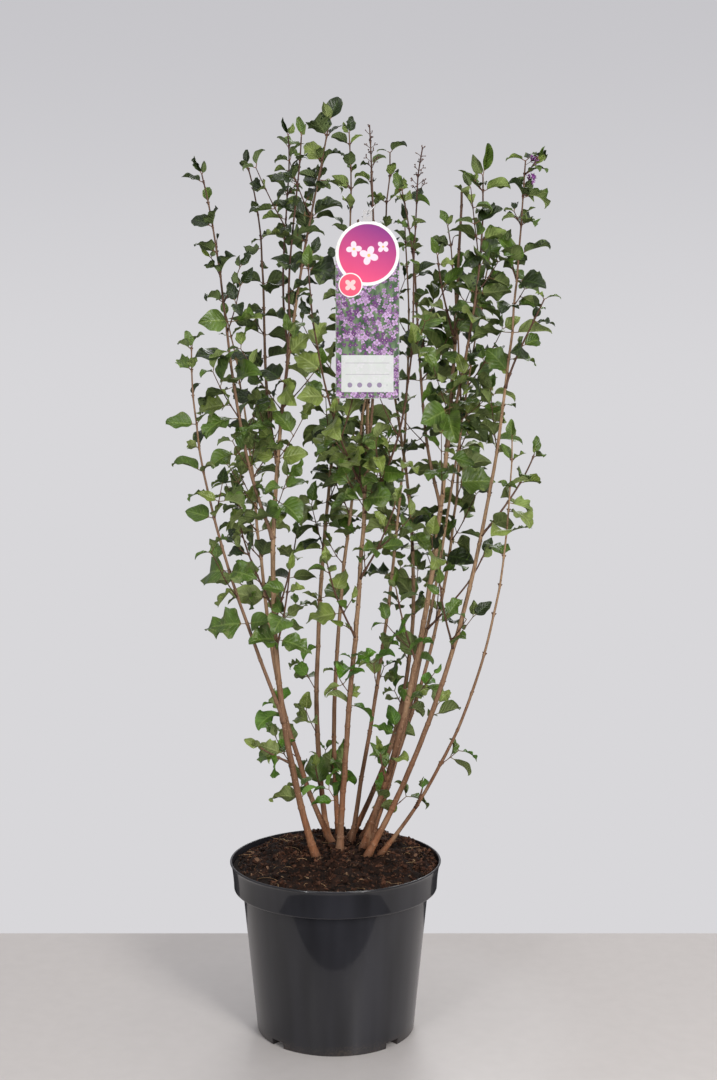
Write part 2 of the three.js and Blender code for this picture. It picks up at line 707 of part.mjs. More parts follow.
// ---------------------------------------------------------------- the whole plant

addNode('pot', potSolid(), COLOURS.pot);
addNode('soil', soilSolid(), COLOURS.soil);

for (const row of [...CANES, ...BOUGHS, ...SPRAYS]) addShoot(row);

for (const [name, limb] of limbs) {
  keep(limb, name);
  addNode(name, limb, shoots.get(name).foot ? COLOURS.cane : COLOURS.bough);
}

const { tie, tag, space } = tagAndTie(shoots.get('bough_tagged'));
keep(tie, 'tag_tie');
keep(tag, 'tag');
keep(space, 'tag_space');
addNode('tag', tag, COLOURS.tag);
addNode('tag_tie', tie, COLOURS.tie);

const masses = [];
for (const shoot of shoots.values()) {
  if (shoot.bare < 1) masses.push(startMass(shoot, 100 + masses.length));
}
for (const mass of masses) {
  mass.nodes = nodesOf(mass);
  for (const { share, turn } of mass.nodes.filter(({ growsTwig }) => growsTwig)) {
    growTwig(mass, mass.path(share), directionAt(mass.path, share, 0.02), turn + Math.PI / 2);
  }
}
for (const mass of masses) {
  if (BLOOMING.includes(mass.shoot.name)) bloomLeader(mass);
  leafLeader(mass);
  for (const twig of mass.twigs) leafTwig(mass, twig);
}
for (const mass of masses) addNode(mass.name, fuse(mass), COLOURS.leaf);

export default plant;
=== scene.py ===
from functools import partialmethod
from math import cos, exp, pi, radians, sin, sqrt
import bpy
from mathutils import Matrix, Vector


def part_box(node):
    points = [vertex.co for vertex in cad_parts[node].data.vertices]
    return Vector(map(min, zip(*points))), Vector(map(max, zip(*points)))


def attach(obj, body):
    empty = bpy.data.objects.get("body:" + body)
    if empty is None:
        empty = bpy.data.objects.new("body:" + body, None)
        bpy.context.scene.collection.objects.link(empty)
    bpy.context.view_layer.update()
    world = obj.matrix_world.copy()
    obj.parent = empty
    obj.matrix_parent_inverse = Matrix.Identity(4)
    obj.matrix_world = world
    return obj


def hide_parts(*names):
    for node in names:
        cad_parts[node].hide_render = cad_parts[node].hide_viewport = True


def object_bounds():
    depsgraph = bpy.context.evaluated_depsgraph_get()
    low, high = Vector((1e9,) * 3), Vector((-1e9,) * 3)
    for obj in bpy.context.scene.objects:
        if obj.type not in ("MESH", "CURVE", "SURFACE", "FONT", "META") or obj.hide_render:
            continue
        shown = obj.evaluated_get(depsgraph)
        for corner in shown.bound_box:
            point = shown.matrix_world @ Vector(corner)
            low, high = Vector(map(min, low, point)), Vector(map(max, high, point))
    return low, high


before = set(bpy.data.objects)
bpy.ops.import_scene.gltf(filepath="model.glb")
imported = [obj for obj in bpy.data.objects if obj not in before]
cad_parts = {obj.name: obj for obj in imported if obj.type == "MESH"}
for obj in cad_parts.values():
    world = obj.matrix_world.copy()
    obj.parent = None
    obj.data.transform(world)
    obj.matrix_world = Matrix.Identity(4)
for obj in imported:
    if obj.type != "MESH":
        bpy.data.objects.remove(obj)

# The looks of a dwarf lilac in a round nursery pot, in metres, +Z up.
# Canes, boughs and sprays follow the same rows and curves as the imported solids. Twigs, leaves,
# buds and florets grow on from them by the same rule, carried on to finer growth.

from types import SimpleNamespace as Sizes

import bmesh
import bpy
import numpy as np
from mathutils import Vector

cad_box = [list(corner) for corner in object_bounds()]
scene = bpy.context.scene

MM = 0.001
TURN = 2 * pi
UP = np.array([0.0, 0.0, 1.0])
BACK = np.array([0.0, 1.0, 0.0])

# ---- sizes, in millimetres

CANES = [
    # name, foot (x, y), tip (x, y, z), lean at the foot, lean at the tip, radius, bare share
    ("cane_01", (-30, -8), (2, -50, 1392), (-0.3, -0.12), (0.21, 0.05), 5.3, 0.72),
    ("cane_02", (-8, 70), (-176, 130, 1108), (-0.5, 0.1), (-0.28, 0.05), 4.2, 0.44),
    ("cane_03", (-14, 98), (19, 185, 1395), (-0.16, 0.15), (-0.07, 0), 4.4, 0.32),
    ("cane_04", (4, 100), (84, 100, 1350), (-0.1, 0.1), (0.03, -0.15), 3.9, 0.34),
    ("cane_05", (6, 24), (34, -40, 1215), (0.05, -0.02), (-0.12, -0.06), 4.7, 1),
    ("cane_06", (24, 104), (56, 215, 1343), (0.58, 0.18), (0.03, 0.05), 4.1, 0.32),
    ("cane_07", (42, 92), (172, 205, 1255), (0.5, 0.3), (-0.15, 0.05), 3.6, 0.36),
    ("cane_08", (24, 76), (104, 150, 1257), (0.17, 0.1), (-0.09, 0.05), 3.6, 0.33),
    ("cane_09", (42, 30), (187, 30, 1262), (0.36, 0), (0.03, 0), 5.2, 1),
    ("cane_10", (52, 58), (246, 130, 1222), (0.36, 0.12), (0.2, 0.05), 3.5, 0.6),
    ("cane_11", (50, -2), (273, -60, 1322), (0.51, -0.1), (0.06, 0), 4.5, 0.7),
    ("cane_12", (70, 4), (253, -110, 932), (0.73, -0.25), (0.01, -0.1), 2.9, 0.55),
]
BOUGHS = [
    # name, (parent, height on it), tip (x, y, z), lean at the root, lean at the tip, radius, bare share
    ("bough_left_low", ("cane_01", 479), (-197, -120, 1061), (-0.35, -0.2), (0.08, -0.15), 3.0, 0.22),
    ("bough_left_tall", ("cane_01", 756), (-192, -80, 1301), (-0.4, -0.15), (-0.27, -0.05), 2.8, 0.25),
    ("bough_left_inner", ("cane_01", 867), (-140, 96, 1331), (-0.26, 0.4), (-0.34, 0), 2.6, 0.22),
    ("bough_middle", ("cane_09", 796), (92, 44, 1293), (-0.3, 0.2), (-0.3, -0.15), 2.6, 0.24),
    ("bough_right", ("cane_09", 886), (211, -22, 1326), (0.2, -0.3), (-0.09, 0.15), 2.6, 0.24),
    ("bough_tagged", ("cane_05", 850), (50, -92, 1345), (0.12, -0.35), (-0.05, 0.05), 2.5, 0.76),
]
SPRAYS = [
    # name, (parent, height on it), tip (x, y, z) and, for some, lean at the root and at the tip
    ("spray_low_left", ("cane_01", 415), (-128, -40, 462)),
    ("spray_low_front", ("cane_03", 330), (-34, 66, 408)),
    ("spray_low_middle", ("cane_09", 372), (66, -14, 452)),
    ("spray_low_right", ("cane_12", 345), (132, -62, 408)),
    ("spray_left_front", ("cane_01", 590), (-62, -96, 740)),
    ("spray_left_back", ("cane_01", 650), (-148, 22, 800)),
    ("spray_left_high", ("cane_01", 930), (-62, -118, 1080)),
    ("spray_centre_left", ("cane_05", 600), (-14, -66, 745)),
    ("spray_centre_right", ("cane_05", 690), (92, -62, 835)),
    ("spray_centre_high", ("cane_05", 1010), (2, 44, 1150)),
    ("spray_inner", ("cane_09", 560), (88, 28, 700)),
    ("spray_inner_high", ("cane_09", 1040), (146, -48, 1190)),
    ("spray_right_low", ("cane_11", 590), (150, -104, 720)),
    ("spray_right_middle", ("cane_11", 760), (298, -34, 905)),
    ("spray_back_left", ("cane_02", 585), (-62, 168, 762), (0.3, 0.5)),
    ("spray_right_back", ("cane_10", 600), (236, 74, 745)),
    ("spray_right_tip", ("cane_11", 975), (304, -96, 1118), (0.24, -0.2), (0.41, 0)),
    ("spray_fork_back", ("cane_01", 1030), (-73, 50, 1374), (-0.23, 0.35), (-0.14, 0)),
    ("spray_fork_front", ("cane_01", 1050), (-44, -96, 1352), (-0.1, -0.3), (0, 0)),
    ("spray_front_right", ("cane_05", 790), (124, -128, 1310), (0.6, -0.35), (0.18, 0)),
    ("spray_front_left", ("cane_05", 820), (-36, -156, 1172), (-0.5, -0.72), (-0.05, 0)),
]
PANICLES = ["bough_tagged", "spray_front_right"]
FLORETS = Sizes(shoot="cane_11", below_end=[6, 34], stalk=13, count=7, tube=6, petal=5.2)

# How large a shoot's topmost leaves are, and how far its last two leaves spread, in radians.
VIGOUR = {
    "cane_01": 1.65, "cane_02": 0.95, "cane_04": 1.25, "cane_11": 1.75, "bough_left_tall": 1.15,
    "bough_left_inner": 1.0, "bough_middle": 1.25, "bough_right": 1.9, "spray_front_left": 1.25,
    "spray_right_tip": 1.0, "other": 1.12,
}
SPREAD = {"cane_11": 0.95, "cane_04": 0.8, "cane_06": 0.7, "spray_right_tip": 0.7, "other": 0.2}
FULLNESS = [
    # x, z, radius, how much fuller or opener than elsewhere
    # the top
    (-10, 1270, 40, 3.5), (10, 1190, 40, 1), (200, 1290, 60, 1.5), (190, 1230, 40, 1),
    (-120, 1140, 80, -0.5), (130, 1120, 50, -1), (210, 1120, 60, 1),
    # beside and under the tag
    (330, 990, 80, -1), (110, 930, 70, -1), (-60, 880, 50, 4), (200, 890, 60, 4), (250, 900, 40, 2),
    (-80, 840, 80, 4.5), (0, 850, 50, 4), (90, 820, 40, -1),
    # the sides, open low down
    (-220, 760, 50, -1), (-170, 720, 50, -1), (210, 830, 60, -1), (210, 660, 60, -1),
    # among the bare canes
    (10, 620, 70, -0.5), (80, 500, 60, 2.5), (100, 370, 50, -1), (130, 450, 60, 0.5), (-40, 300, 50, 4),
    (0, 340, 50, 4),
]

SOIL_CROWN = 268.3
LEAF_ROOM = Sizes(from_limbs=5.5, from_leaves=8, twig=5, beside_mass=(9, 9, 9), above_mass=(9, 9, 3))
SHOOT = Sizes(tip=0.9, power=0.96, cut_back=0.8, arch=1.5, arrival=0.2, spray=1.75)
FLARE = Sizes(size=2.6, height=16, buried=14)
NODES = Sizes(clean=68, low=42, high=33, kink=0.5, first=34, first_if_leafy=20)
SWELL = Sizes(size=0.4, share=0.06, length=1.8)
RIDGE = Sizes(width=3.2, drawn_out=0.12)
TWIG = Sizes(chance=0.4, shortest=40, longest=110, radius=1.05, tip=0.6, internode=25, rise=0.2, below_tip=70)
SPUR = Sizes(chance=0.34, shortest=8, longest=30, radius=0.75)
# The three heights in metres.
LOW_TWIG = Sizes(lowest=0.33, middle=0.62, highest=0.98, chance=0.17, long=(40, 110), short=(14, 46))
FRONT_TWIG = Sizes(shoot="spray_front_left", below_end=85, length=48, leaf=32)
LEAF = Sizes(
    large=68, small=26, shrink=1.1, half_width=0.31, petiole=0.17, end=27, angle_low=70, angle_high=42,
    outward=0.3, facing=1.15,
)
# Degrees aside, degrees up and size of each try at placing a leaf.
LEAF_TRIES = [(0, 0, 1), (26, 0, 1), (-26, 0, 1), (0, 22, 0.94), (48, 8, 0.86), (-48, 8, 0.86)]
# How far growth stays off the tag's low and high corners, in metres.
TAG_ROOM = ((0.014, 0.09, 0.004), (0.014, 0.004, -0.012))

# ---- vectors and curves


def unit(vectors):
    """Vectors divided by their lengths."""
    return vectors / np.maximum(np.linalg.norm(vectors, axis=-1, keepdims=True), 1e-12)


def squared(vectors, headings):
    """Unit vectors square to headings: v - h (v . h), divided by its length."""
    return unit(vectors - headings * (vectors * headings).sum(-1, keepdims=True))


def mix(low, high, share):
    """The value at a share of the way from low to high."""
    return low + (high - low) * share


def turned(vector, axis, angle):
    """A vector turned about an axis: its part along the axis stays, and the rest turns in its plane."""
    along = axis * np.dot(axis, vector)
    return along + (vector - along) * cos(angle) + np.cross(axis, vector) * sin(angle)


def hoops(across, aside, around, start=0.0):
    """Points all round in the plane of two vectors: cos(angle) across + sin(angle) aside."""
    angles = (start + np.arange(around) * TURN / around)[:, None]
    return np.cos(angles) * across[..., None, :] + np.sin(angles) * aside[..., None, :]


def spines(roots, headings, lengths, shares):
    """Points on straight lines, at shares of their lengths from their roots."""
    return roots[:, None] + headings[:, None] * (shares * lengths[:, None])[..., None]


def lumps(points, size, seed, waves=28):
    """Smooth bumps from about -1 to 1: the sum of sine waves of random directions and phases, each
    about the given length, divided by twice the root of half their number."""
    draws = np.random.default_rng(seed)
    directions = unit(draws.normal(size=(waves, 3))) * (TURN / size) * draws.uniform(0.6, 1.6, (waves, 1))
    phases = draws.uniform(0, TURN, waves)
    return np.sin(points @ directions.T + phases).sum(-1) / sqrt(waves / 2) / 2


def branching(along, turn, angle):
    """The direction at an angle off a stem, on the side that the turn points to."""
    across = unit(np.cross((0, 1, 0.01), along))
    side = across * cos(turn) + np.cross(along, across) * sin(turn)
    return unit(along * cos(angle) + side * sin(angle))


class Stem:
    """A stem's centre line as points set close, with its radius at each and the distance along it."""

    def __init__(self, points, radii):
        self.points = points
        self.radii = radii
        self.far = np.concatenate([[0], np.cumsum(np.linalg.norm(np.diff(points, axis=0), axis=1))])
        self.length = self.far[-1]
        self.nodes = np.array([])

    def at(self, far):
        """The points at distances along the stem."""
        return np.stack([np.interp(far, self.far, self.points[:, axis]) for axis in range(3)], -1)

    def heading(self, far, step=5 * MM):
        """The stem's direction at distances along it, from the points a step before and after."""
        low = np.clip(far - step, 0, self.length - step)
        return unit(self.at(low + 2 * step) - self.at(low))

    def radius(self, far):
        """The radii at distances along the stem."""
        return np.interp(far, self.far, self.radii)

    def rise_to(self, height):
        """The distance along the stem at which it reaches a height in millimetres."""
        return np.interp(height * MM, self.points[:, 2], self.far)

    def kink(self, size):
        """Moves the line sideways at each node by a random offset, and evenly from node to node."""
        knots = np.concatenate([[0], self.nodes, [self.length]])
        offsets = rng.normal(0, size, (len(knots), 3)) * (1, 1, 0.2)
        offsets[[0, -1]] = 0
        moves = [np.interp(self.far, knots, offsets[:, axis]) for axis in range(3)]
        self.points = self.points + np.stack(moves, -1)


def cubic(root, tip, lean, end_lean, shares):
    """A cubic curve from root to tip. Its two inner points lie a third of the rise above the root
    and below the tip, moved sideways by the leans."""
    third = (tip[2] - root[2]) / 3
    leave = root + third * np.array([*lean, 1])
    arrive = tip - third * np.array([*end_lean, 1])
    s = shares[:, None]
    return (1 - s) ** 3 * root + 3 * s * (1 - s) ** 2 * leave + 3 * s**2 * (1 - s) * arrive + s**3 * tip


def node_distances(length, leafy):
    """Distances of the nodes along a shoot: wide apart on its clean part, and from there on closer
    and closer towards the tip."""
    found = []
    far = (NODES.first if leafy > 60 * MM else NODES.first_if_leafy) * MM
    while far < length - LEAF.end * MM * 0.8:
        found.append(far)
        share = (far - leafy) / (length - leafy)
        spacing = NODES.clean if share < 0 else mix(NODES.low, NODES.high, share)
        far += spacing * MM * rng.uniform(0.86, 1.14)
    return np.array(found)


# ---- closed shapes from rings of points


def loft(rings, closed=False):
    """Closed tubes from rings of points of the shape (tubes, rows, around, 3). Neighbouring rings are
    joined by four-sided faces. Each end gets a fan on one point, the middle of its ring, or the last
    ring joins the first if the tubes are closed in a loop. Gives points, quads and triangles."""
    tubes, rows, around, _ = rings.shape
    row, col = np.meshgrid(np.arange(rows if closed else rows - 1), np.arange(around), indexing="ij")
    after, beside = (row + 1) % rows, (col + 1) % around
    corners = (row * around + col, row * around + beside, after * around + beside, after * around + col)
    quads = np.stack(corners, -1).reshape(-1, 4)
    points = rings.reshape(tubes, rows * around, 3)
    fans = np.zeros((0, 3), int)
    if not closed:
        points = np.concatenate([points, rings[:, [0, -1]].mean(2)], 1)
        col, beside = col[0], beside[0]
        end = (rows - 1) * around
        first = np.stack([col * 0 + rows * around, beside, col], -1)
        last = np.stack([col * 0 + rows * around + 1, end + col, end + beside], -1)
        fans = np.concatenate([first, last])
    shift = (np.arange(tubes) * points.shape[1])[:, None, None]
    return points.reshape(-1, 3), (quads + shift).reshape(-1, 4), (fans + shift).reshape(-1, 3)


def placed(name, data):
    """A new object in the scene."""
    thing = bpy.data.objects.new(name, data)
    scene.collection.objects.link(thing)
    return thing


class Heap:
    """Closed shapes gathered into one piece, with a material slot for each face and a UV for each point."""

    def __init__(self):
        self.parts = []
        self.count = 0

    def add(self, shape, quad_slots=0, fan_slots=0, uvs=None):
        """Adds closed shapes, given as points, quads and triangles, and gives the heap."""
        points, quads, fans = shape
        slots = np.broadcast_to(quad_slots, len(quads)), np.broadcast_to(fan_slots, len(fans))
        uvs = np.zeros((len(points), 2)) if uvs is None else uvs
        self.parts.append((points, quads + self.count, fans + self.count, *slots, uvs))
        self.count += len(points)
        return self

    def piece(self, name, slot, materials, replaces, crease=None):
        """The gathered shapes as one smooth mesh on the root body. Edges where the faces turn by more
        than the crease, in degrees, are sharp."""
        points, quads, fans, *slots, uvs = (np.concatenate(part) for part in zip(*self.parts))
        corners = np.concatenate([quads.ravel(), fans.ravel()])
        starts = np.concatenate([np.arange(len(quads)) * 4, len(quads) * 4 + np.arange(len(fans)) * 3])
        mesh = bpy.data.meshes.new(name)
        mesh.vertices.add(self.count)
        mesh.loops.add(len(corners))
        mesh.polygons.add(len(starts))
        mesh.vertices.foreach_set("co", points.astype(np.float32).ravel())
        mesh.loops.foreach_set("vertex_index", corners.astype(np.int32))
        mesh.polygons.foreach_set("loop_start", starts.astype(np.int32))
        mesh.polygons.foreach_set("material_index", np.concatenate(slots).astype(np.int32))
        layer = mesh.uv_layers.new(name="UVMap")
        layer.data.foreach_set("uv", uvs[corners].astype(np.float32).ravel())
        mesh.update(calc_edges=True)
        mesh.validate()
        for material in materials:
            mesh.materials.append(material)
        mesh.shade_smooth()
        if crease is not None:
            mesh.set_sharp_from_angle(angle=radians(crease))
        piece = placed(name, mesh)
        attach(piece, "root")
        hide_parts(*replaces)
        return piece


def tube_rings(stem, spacing, around, relief=0.0, seed=0):
    """Rings square to a stem, evenly spaced, and close together at each node. The radius is the stem's,
    a little more at each node, and times one plus the relief, made of ridges along the stem."""
    near = (stem.nodes[:, None] + np.array([-3.2, -1.8, -0.8, 0, 0.8, 1.8, 3.2]) * MM).ravel()
    even = np.linspace(0, stem.length, max(3, int(stem.length / spacing) + 1))
    fars = np.unique(np.round(np.concatenate([even, near]).clip(0, stem.length), 4))
    along, radii = stem.heading(fars), stem.radius(fars)
    across = unit(np.cross(BACK, along))
    if len(stem.nodes):
        apart = (fars[:, None] - stem.nodes) / (SWELL.length * MM)
        radii = radii + np.exp(-(apart**2)).max(1) * (SWELL.size * MM + SWELL.share * radii)
    rounds = hoops(across, np.cross(along, across), around)
    radii = radii[:, None, None]
    if relief:
        spots = rounds * radii * (1, 1, 0)
        spots[..., 2] += fars[:, None] * RIDGE.drawn_out
        radii = radii * (1 + relief * lumps(spots, RIDGE.width * MM, seed)[..., None])
    return (stem.at(fars)[:, None] + rounds * radii)[None]


# ---- the shoots

shoots = {}
rng = np.random.default_rng(11)


def lay_shoot(name, start, tip, lean=None, end_lean=None, radius=SHOOT.spray, bare=0):
    """A shoot's stem, its nodes and the distance at which its leaves start. A cane starts under the
    soil, and a side shoot on its parent's centre line. A shoot that is bare all along was cut back."""
    tip = np.array(tip) * MM
    is_cane = name.startswith("cane")
    if is_cane:
        root = np.array([*start, SOIL_CROWN]) * MM
    else:
        line = shoots[start[0]].stem
        foot = line.rise_to(start[1])
        root = line.at(foot)
    if lean is None:
        lean = SHOOT.arch * (tip - root)[:2] / (tip - root)[2]
    if end_lean is None:
        end_lean = SHOOT.arrival * np.array(lean)
    shares = np.linspace(0, 1, 240 if is_cane else 120)
    points = cubic(root, tip, lean, end_lean, shares)
    is_cut = bare == 1
    taper = SHOOT.cut_back if is_cut else 1
    radii = mix(radius, SHOOT.tip, taper * shares ** SHOOT.power) * MM
    if is_cane:
        buried = root - unit(np.array([*lean, 1])) * FLARE.buried * MM
        points = np.concatenate([[buried], points])
        rise = np.maximum(points[:, 2] - root[2], 0)
        flare = FLARE.size * MM * np.exp(-rise / (FLARE.height * MM))
        radii = np.concatenate([radii[:1], radii]) + flare
        shares = np.concatenate([[0], shares])
    else:
        clear = np.linalg.norm(points - root, axis=1) - line.radius(foot)
        radii = radii * (1 + 0.8 * np.exp(-np.maximum(clear, 0) / (4 * MM)))
    stem = Stem(points, radii)
    leafy = stem.length + 1 if is_cut else float(np.interp(bare, shares, stem.far))
    stem.nodes = node_distances(stem.length, leafy)
    stem.kink(NODES.kink * MM * (1.2 if is_cane else 0.8))
    shoots[name] = Sizes(number=len(shoots), stem=stem, leafy=leafy, is_cane=is_cane, is_cut=is_cut)


for row in CANES + BOUGHS + SPRAYS:
    lay_shoot(*row)

tag_low, tag_high = (np.array(corner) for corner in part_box("tag"))
CROWN = tuple(np.array(corner) for corner in cad_box)
AXIS = np.array([0.04, 0.02, 0])

# ---- growth: twigs, spurs and leaves


def own(table, name):
    """A shoot's own entry in a table, or the one for all others."""
    return table.get(name, table["other"])


def fullness(point):
    """How full the crown is at a point: 1, and more or less about each place in the table, where a gain
    falls off with the distance in the front's plane as exp(-(distance / radius)^2)."""
    full = 1.0
    for x, z, radius, gain in FULLNESS:
        apart = (point[0] - x * MM) ** 2 + (point[2] - z * MM) ** 2
        full += gain * exp(-apart / (radius * MM) ** 2)
    return max(full, 0.05)


def reseed(*numbers):
    """New random draws for a place on the plant, so that its growth is the same whatever grows elsewhere."""
    global rng
    rng = np.random.default_rng(numbers)


class Growth:
    """All that grows on the shoots, and what new growth has to stay clear of."""

    def __init__(self):
        self.limbs = np.concatenate([shoot.stem.points[::2] for shoot in shoots.values()])
        self.blades = []
        self.spots = np.zeros((0, 3))
        self.twigs = []

    def is_free(self, points, room, reach, from_leaves):
        """True if all points are in reach, off the tag's front, and clear of limbs and other leaves."""
        low, high = reach
        if (points < low).any() or (points > high).any():
            return False
        front = (points > tag_low - TAG_ROOM[0]) & (points < tag_high + TAG_ROOM[1])
        if front.all(1).any() or (np.linalg.norm(points[:, None] - self.limbs, axis=2) < room).any():
            return False
        return bool((np.linalg.norm(points[:, None] - self.spots, axis=2) > from_leaves).all())

    def leaf(self, root, heading, up, length, kind, reach, arch=None):
        """Tries a leaf as it grows, then turned aside, raised and smaller, until one is free."""
        for aside, lift, size in LEAF_TRIES:
            direction = turned(heading, UP, radians(aside))
            direction = unit(turned(direction, unit(np.cross(direction, UP)), radians(lift)))
            long = length * size
            droop = (0.55 if arch is None else arch) * 0.5 * long
            shares = np.array([0.45, 0.75, 1.0])[:, None]
            points = root + direction * long * shares - UP * droop * shares**2
            if self.is_free(points, LEAF_ROOM.from_limbs * MM, reach, LEAF_ROOM.from_leaves * MM):
                self.spots = np.concatenate([self.spots, points])
                self.blades.append((root, direction, up, long, kind, arch))
                return

    def pair(self, root, along, turn, angle, length, kind, reach, missing=0.05):
        """Opposite leaves on both sides of a stem. They lean outwards, and their upper faces look
        between the stem's tip and the outside, more outwards the larger the leaf is."""
        full = fullness(root)
        away = (root - AXIS) * (1, 1, 0)
        away = away / max(np.linalg.norm(away), 0.1)
        for side in (0, pi):
            size = length * rng.uniform(0.74, 1.2)
            off = angle + rng.normal(0, 0.13)
            roll = rng.normal(0, 0.5)
            big = size / (LEAF.large * MM)
            sag = (0.15 + 0.5 * rng.random()) * big**2
            heading = branching(along, turn + side + rng.normal(0, 0.12), off)
            heading = unit(heading + LEAF.outward * away - UP * sag)
            if rng.random() < 1 - (1 - missing) * min(1, full):
                continue
            up = squared(along + LEAF.facing * big * rng.random() ** 1.6 * away, heading)
            self.leaf(root, heading, turned(up, heading, roll), size, kind(), reach)


def kind_picker(root, fresh):
    """A picker of leaf tints: bright ones low down, deep ones more often at the back, high up and on
    the left, and a share of fresh ones. The deep tint is a darker leaf, but its larger share at the
    back and on the left is painted shade, where the crown lies away from the lamps."""
    low, high = root[2] < 0.6, float(np.clip((root[2] - 0.9) / 0.2, 0, 1))
    # Painted shade: a larger share of deep, dark leaves at the back and, high up, on the left.
    deep = (0.25 if root[1] > 0.06 else 0.08) + (0.78 if root[0] < -0.02 else 0.28) * high
    olive = mix(0.3, 0.08, high)

    def pick():
        draw = rng.random()
        if low:
            return "bright" if draw < 0.34 else "green" if draw < 0.66 else "olive"
        if draw < fresh:
            return "fresh"
        if draw > 1 - deep:
            return "deep"
        return "olive" if draw > 1 - deep - olive else "green"

    return pick


def end_leaves(stem, kind, reach, size, spread):
    """Two leaves at a shoot's end, one larger. They stand folded up, or spread wide and arch over."""
    root = stem.points[-1]
    along = stem.heading(stem.length)
    wide = spread > 0.5
    turn = rng.uniform(-0.5, 0.5) if wide else rng.uniform(0, TURN)
    facing = unit(np.array([rng.uniform(-0.6, 0.9), -1, 0.2]))
    first, second, arch = (UP, UP, 1.1) if wide else (facing, -facing, 0.3)
    growth.leaf(root, branching(along, turn, spread), first, size, kind(), reach, arch)
    growth.leaf(root, branching(along, turn + pi, spread + 0.3), second, size * 0.7, kind(), reach, arch)


def grow_twig(stem, far, turn, length, radius, reach, kind, leaf_size):
    """A side twig that leaves its stem at an angle and rises towards its end, with pairs of leaves."""
    direction = branching(stem.heading(far), turn, radians(rng.uniform(34, 50)))
    shares = np.linspace(0, 1, 24)
    rise = UP * TWIG.rise * length * shares[:, None] ** 2
    points = stem.at(far) + direction * shares[:, None] * length + rise
    if not growth.is_free(points[10:], LEAF_ROOM.twig * MM, reach, LEAF_ROOM.twig * MM):
        return
    radii = mix(radius * MM, min(radius, TWIG.tip) * MM, shares)
    twig = Stem(points, radii * (1 + 0.7 * np.exp(-shares * length / (3 * MM))))
    count = max(1, int(length / (TWIG.internode * MM)))
    nodes = length * (np.arange(count) + rng.uniform(0.62, 0.82)) / (count + 0.25)
    twig.nodes = nodes[nodes < twig.length - 6 * MM]
    twig.kink(0.5 * MM)
    growth.twigs.append(twig)
    growth.limbs = np.concatenate([growth.limbs, twig.points[2:]])
    spin = rng.uniform(0, pi)
    for node in twig.nodes:
        spin += TURN / 4 + rng.normal(0, 0.2)
        size = leaf_size * mix(1, 0.8, node / twig.length)
        growth.pair(twig.at(node), twig.heading(node), spin, radians(58), size, kind, reach, missing=0.08)
    end_leaves(twig, kind, reach, leaf_size * 0.72, rng.uniform(0.1, 0.9))


def grow_shoot(name, number, stem, leafy):
    """The pairs of leaves at a shoot's nodes, smaller towards the tip, with spurs and twigs in some axils."""
    low, high = (np.array(corner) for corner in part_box("leaves_" + name))
    reach = (low - np.array(LEAF_ROOM.beside_mass) * MM, high + np.array(LEAF_ROOM.above_mass) * MM)
    blooms = name in PANICLES
    vigour = own(VIGOUR, name)
    reseed(1, number)
    spin = rng.uniform(0, TURN)
    for count, node in enumerate(stem.nodes[stem.nodes > leafy - 5 * MM]):
        reseed(2, number, count)
        spin += TURN / 4 + rng.normal(0, 0.18)
        share = max(0.0, (node - leafy) / (stem.length - leafy))
        near_tip = stem.length - node <= TWIG.below_tip * MM
        if blooms and near_tip:
            continue
        along, root = stem.heading(node), stem.at(node)
        size = mix(LEAF.large, LEAF.small * vigour, share ** LEAF.shrink) * MM
        angle = radians(mix(LEAF.angle_low, LEAF.angle_high, share))
        kind = kind_picker(root, 0.4 if share > 0.86 else 0.08)
        growth.pair(root, along, spin, angle, size, kind, reach, missing=0.36 if share < 0.2 else 0.12)
        draw, full = rng.random(), fullness(root)
        side = spin + rng.choice([0, pi]) + rng.normal(0, 0.3)
        room = not near_tip and (share < 0.66 or full > 1.6)
        if draw < TWIG.chance * (1.5 - 1.4 * share) * full and room:
            growing, leaf = TWIG, 0.88
        elif draw > 1 - SPUR.chance * (1.2 - 0.6 * share) * full:
            growing, leaf = SPUR, 0.62
        else:
            continue
        length = rng.uniform(growing.shortest, growing.longest) * MM
        grow_twig(stem, node, side, length, growing.radius, reach, kind, size * leaf)
    if not blooms:
        reseed(3, number)
        kind = kind_picker(stem.points[-1], 0.5)
        end_leaves(stem, kind, reach, LEAF.end * vigour * MM, own(SPREAD, name))


def grow_low_twigs(number, stem, leafy, is_cane):
    """Short twigs with a few leaves at some nodes on the lower, clean part of a shoot, and pairs of
    leaves where the crown is full."""
    for count, node in enumerate(stem.nodes[stem.nodes < leafy - 5 * MM]):
        reseed(4, number, count)
        root = stem.at(node)
        full = fullness(root)
        if not LOW_TWIG.lowest < root[2] < LOW_TWIG.highest:
            continue
        high_up = root[2] > LOW_TWIG.middle
        chance = LOW_TWIG.chance * full if is_cane else full - 1
        turn = rng.uniform(0, TURN)
        if high_up and rng.random() < (full - 1) / 2:
            size = rng.uniform(0.6, 0.9) * LEAF.large * MM
            growth.pair(root, stem.heading(node), turn, radians(64), size, kind_picker(root, 0.1), CROWN)
        for side in (0, pi):
            if rng.random() > chance / (1 + (side > 0)):
                continue
            length = rng.uniform(*(LOW_TWIG.long if high_up else LOW_TWIG.short)) * MM
            size = rng.uniform(0.62, 0.92) * LEAF.large * MM
            grow_twig(stem, node, turn + side, length, SPUR.radius, CROWN, kind_picker(root, 0.1), size)


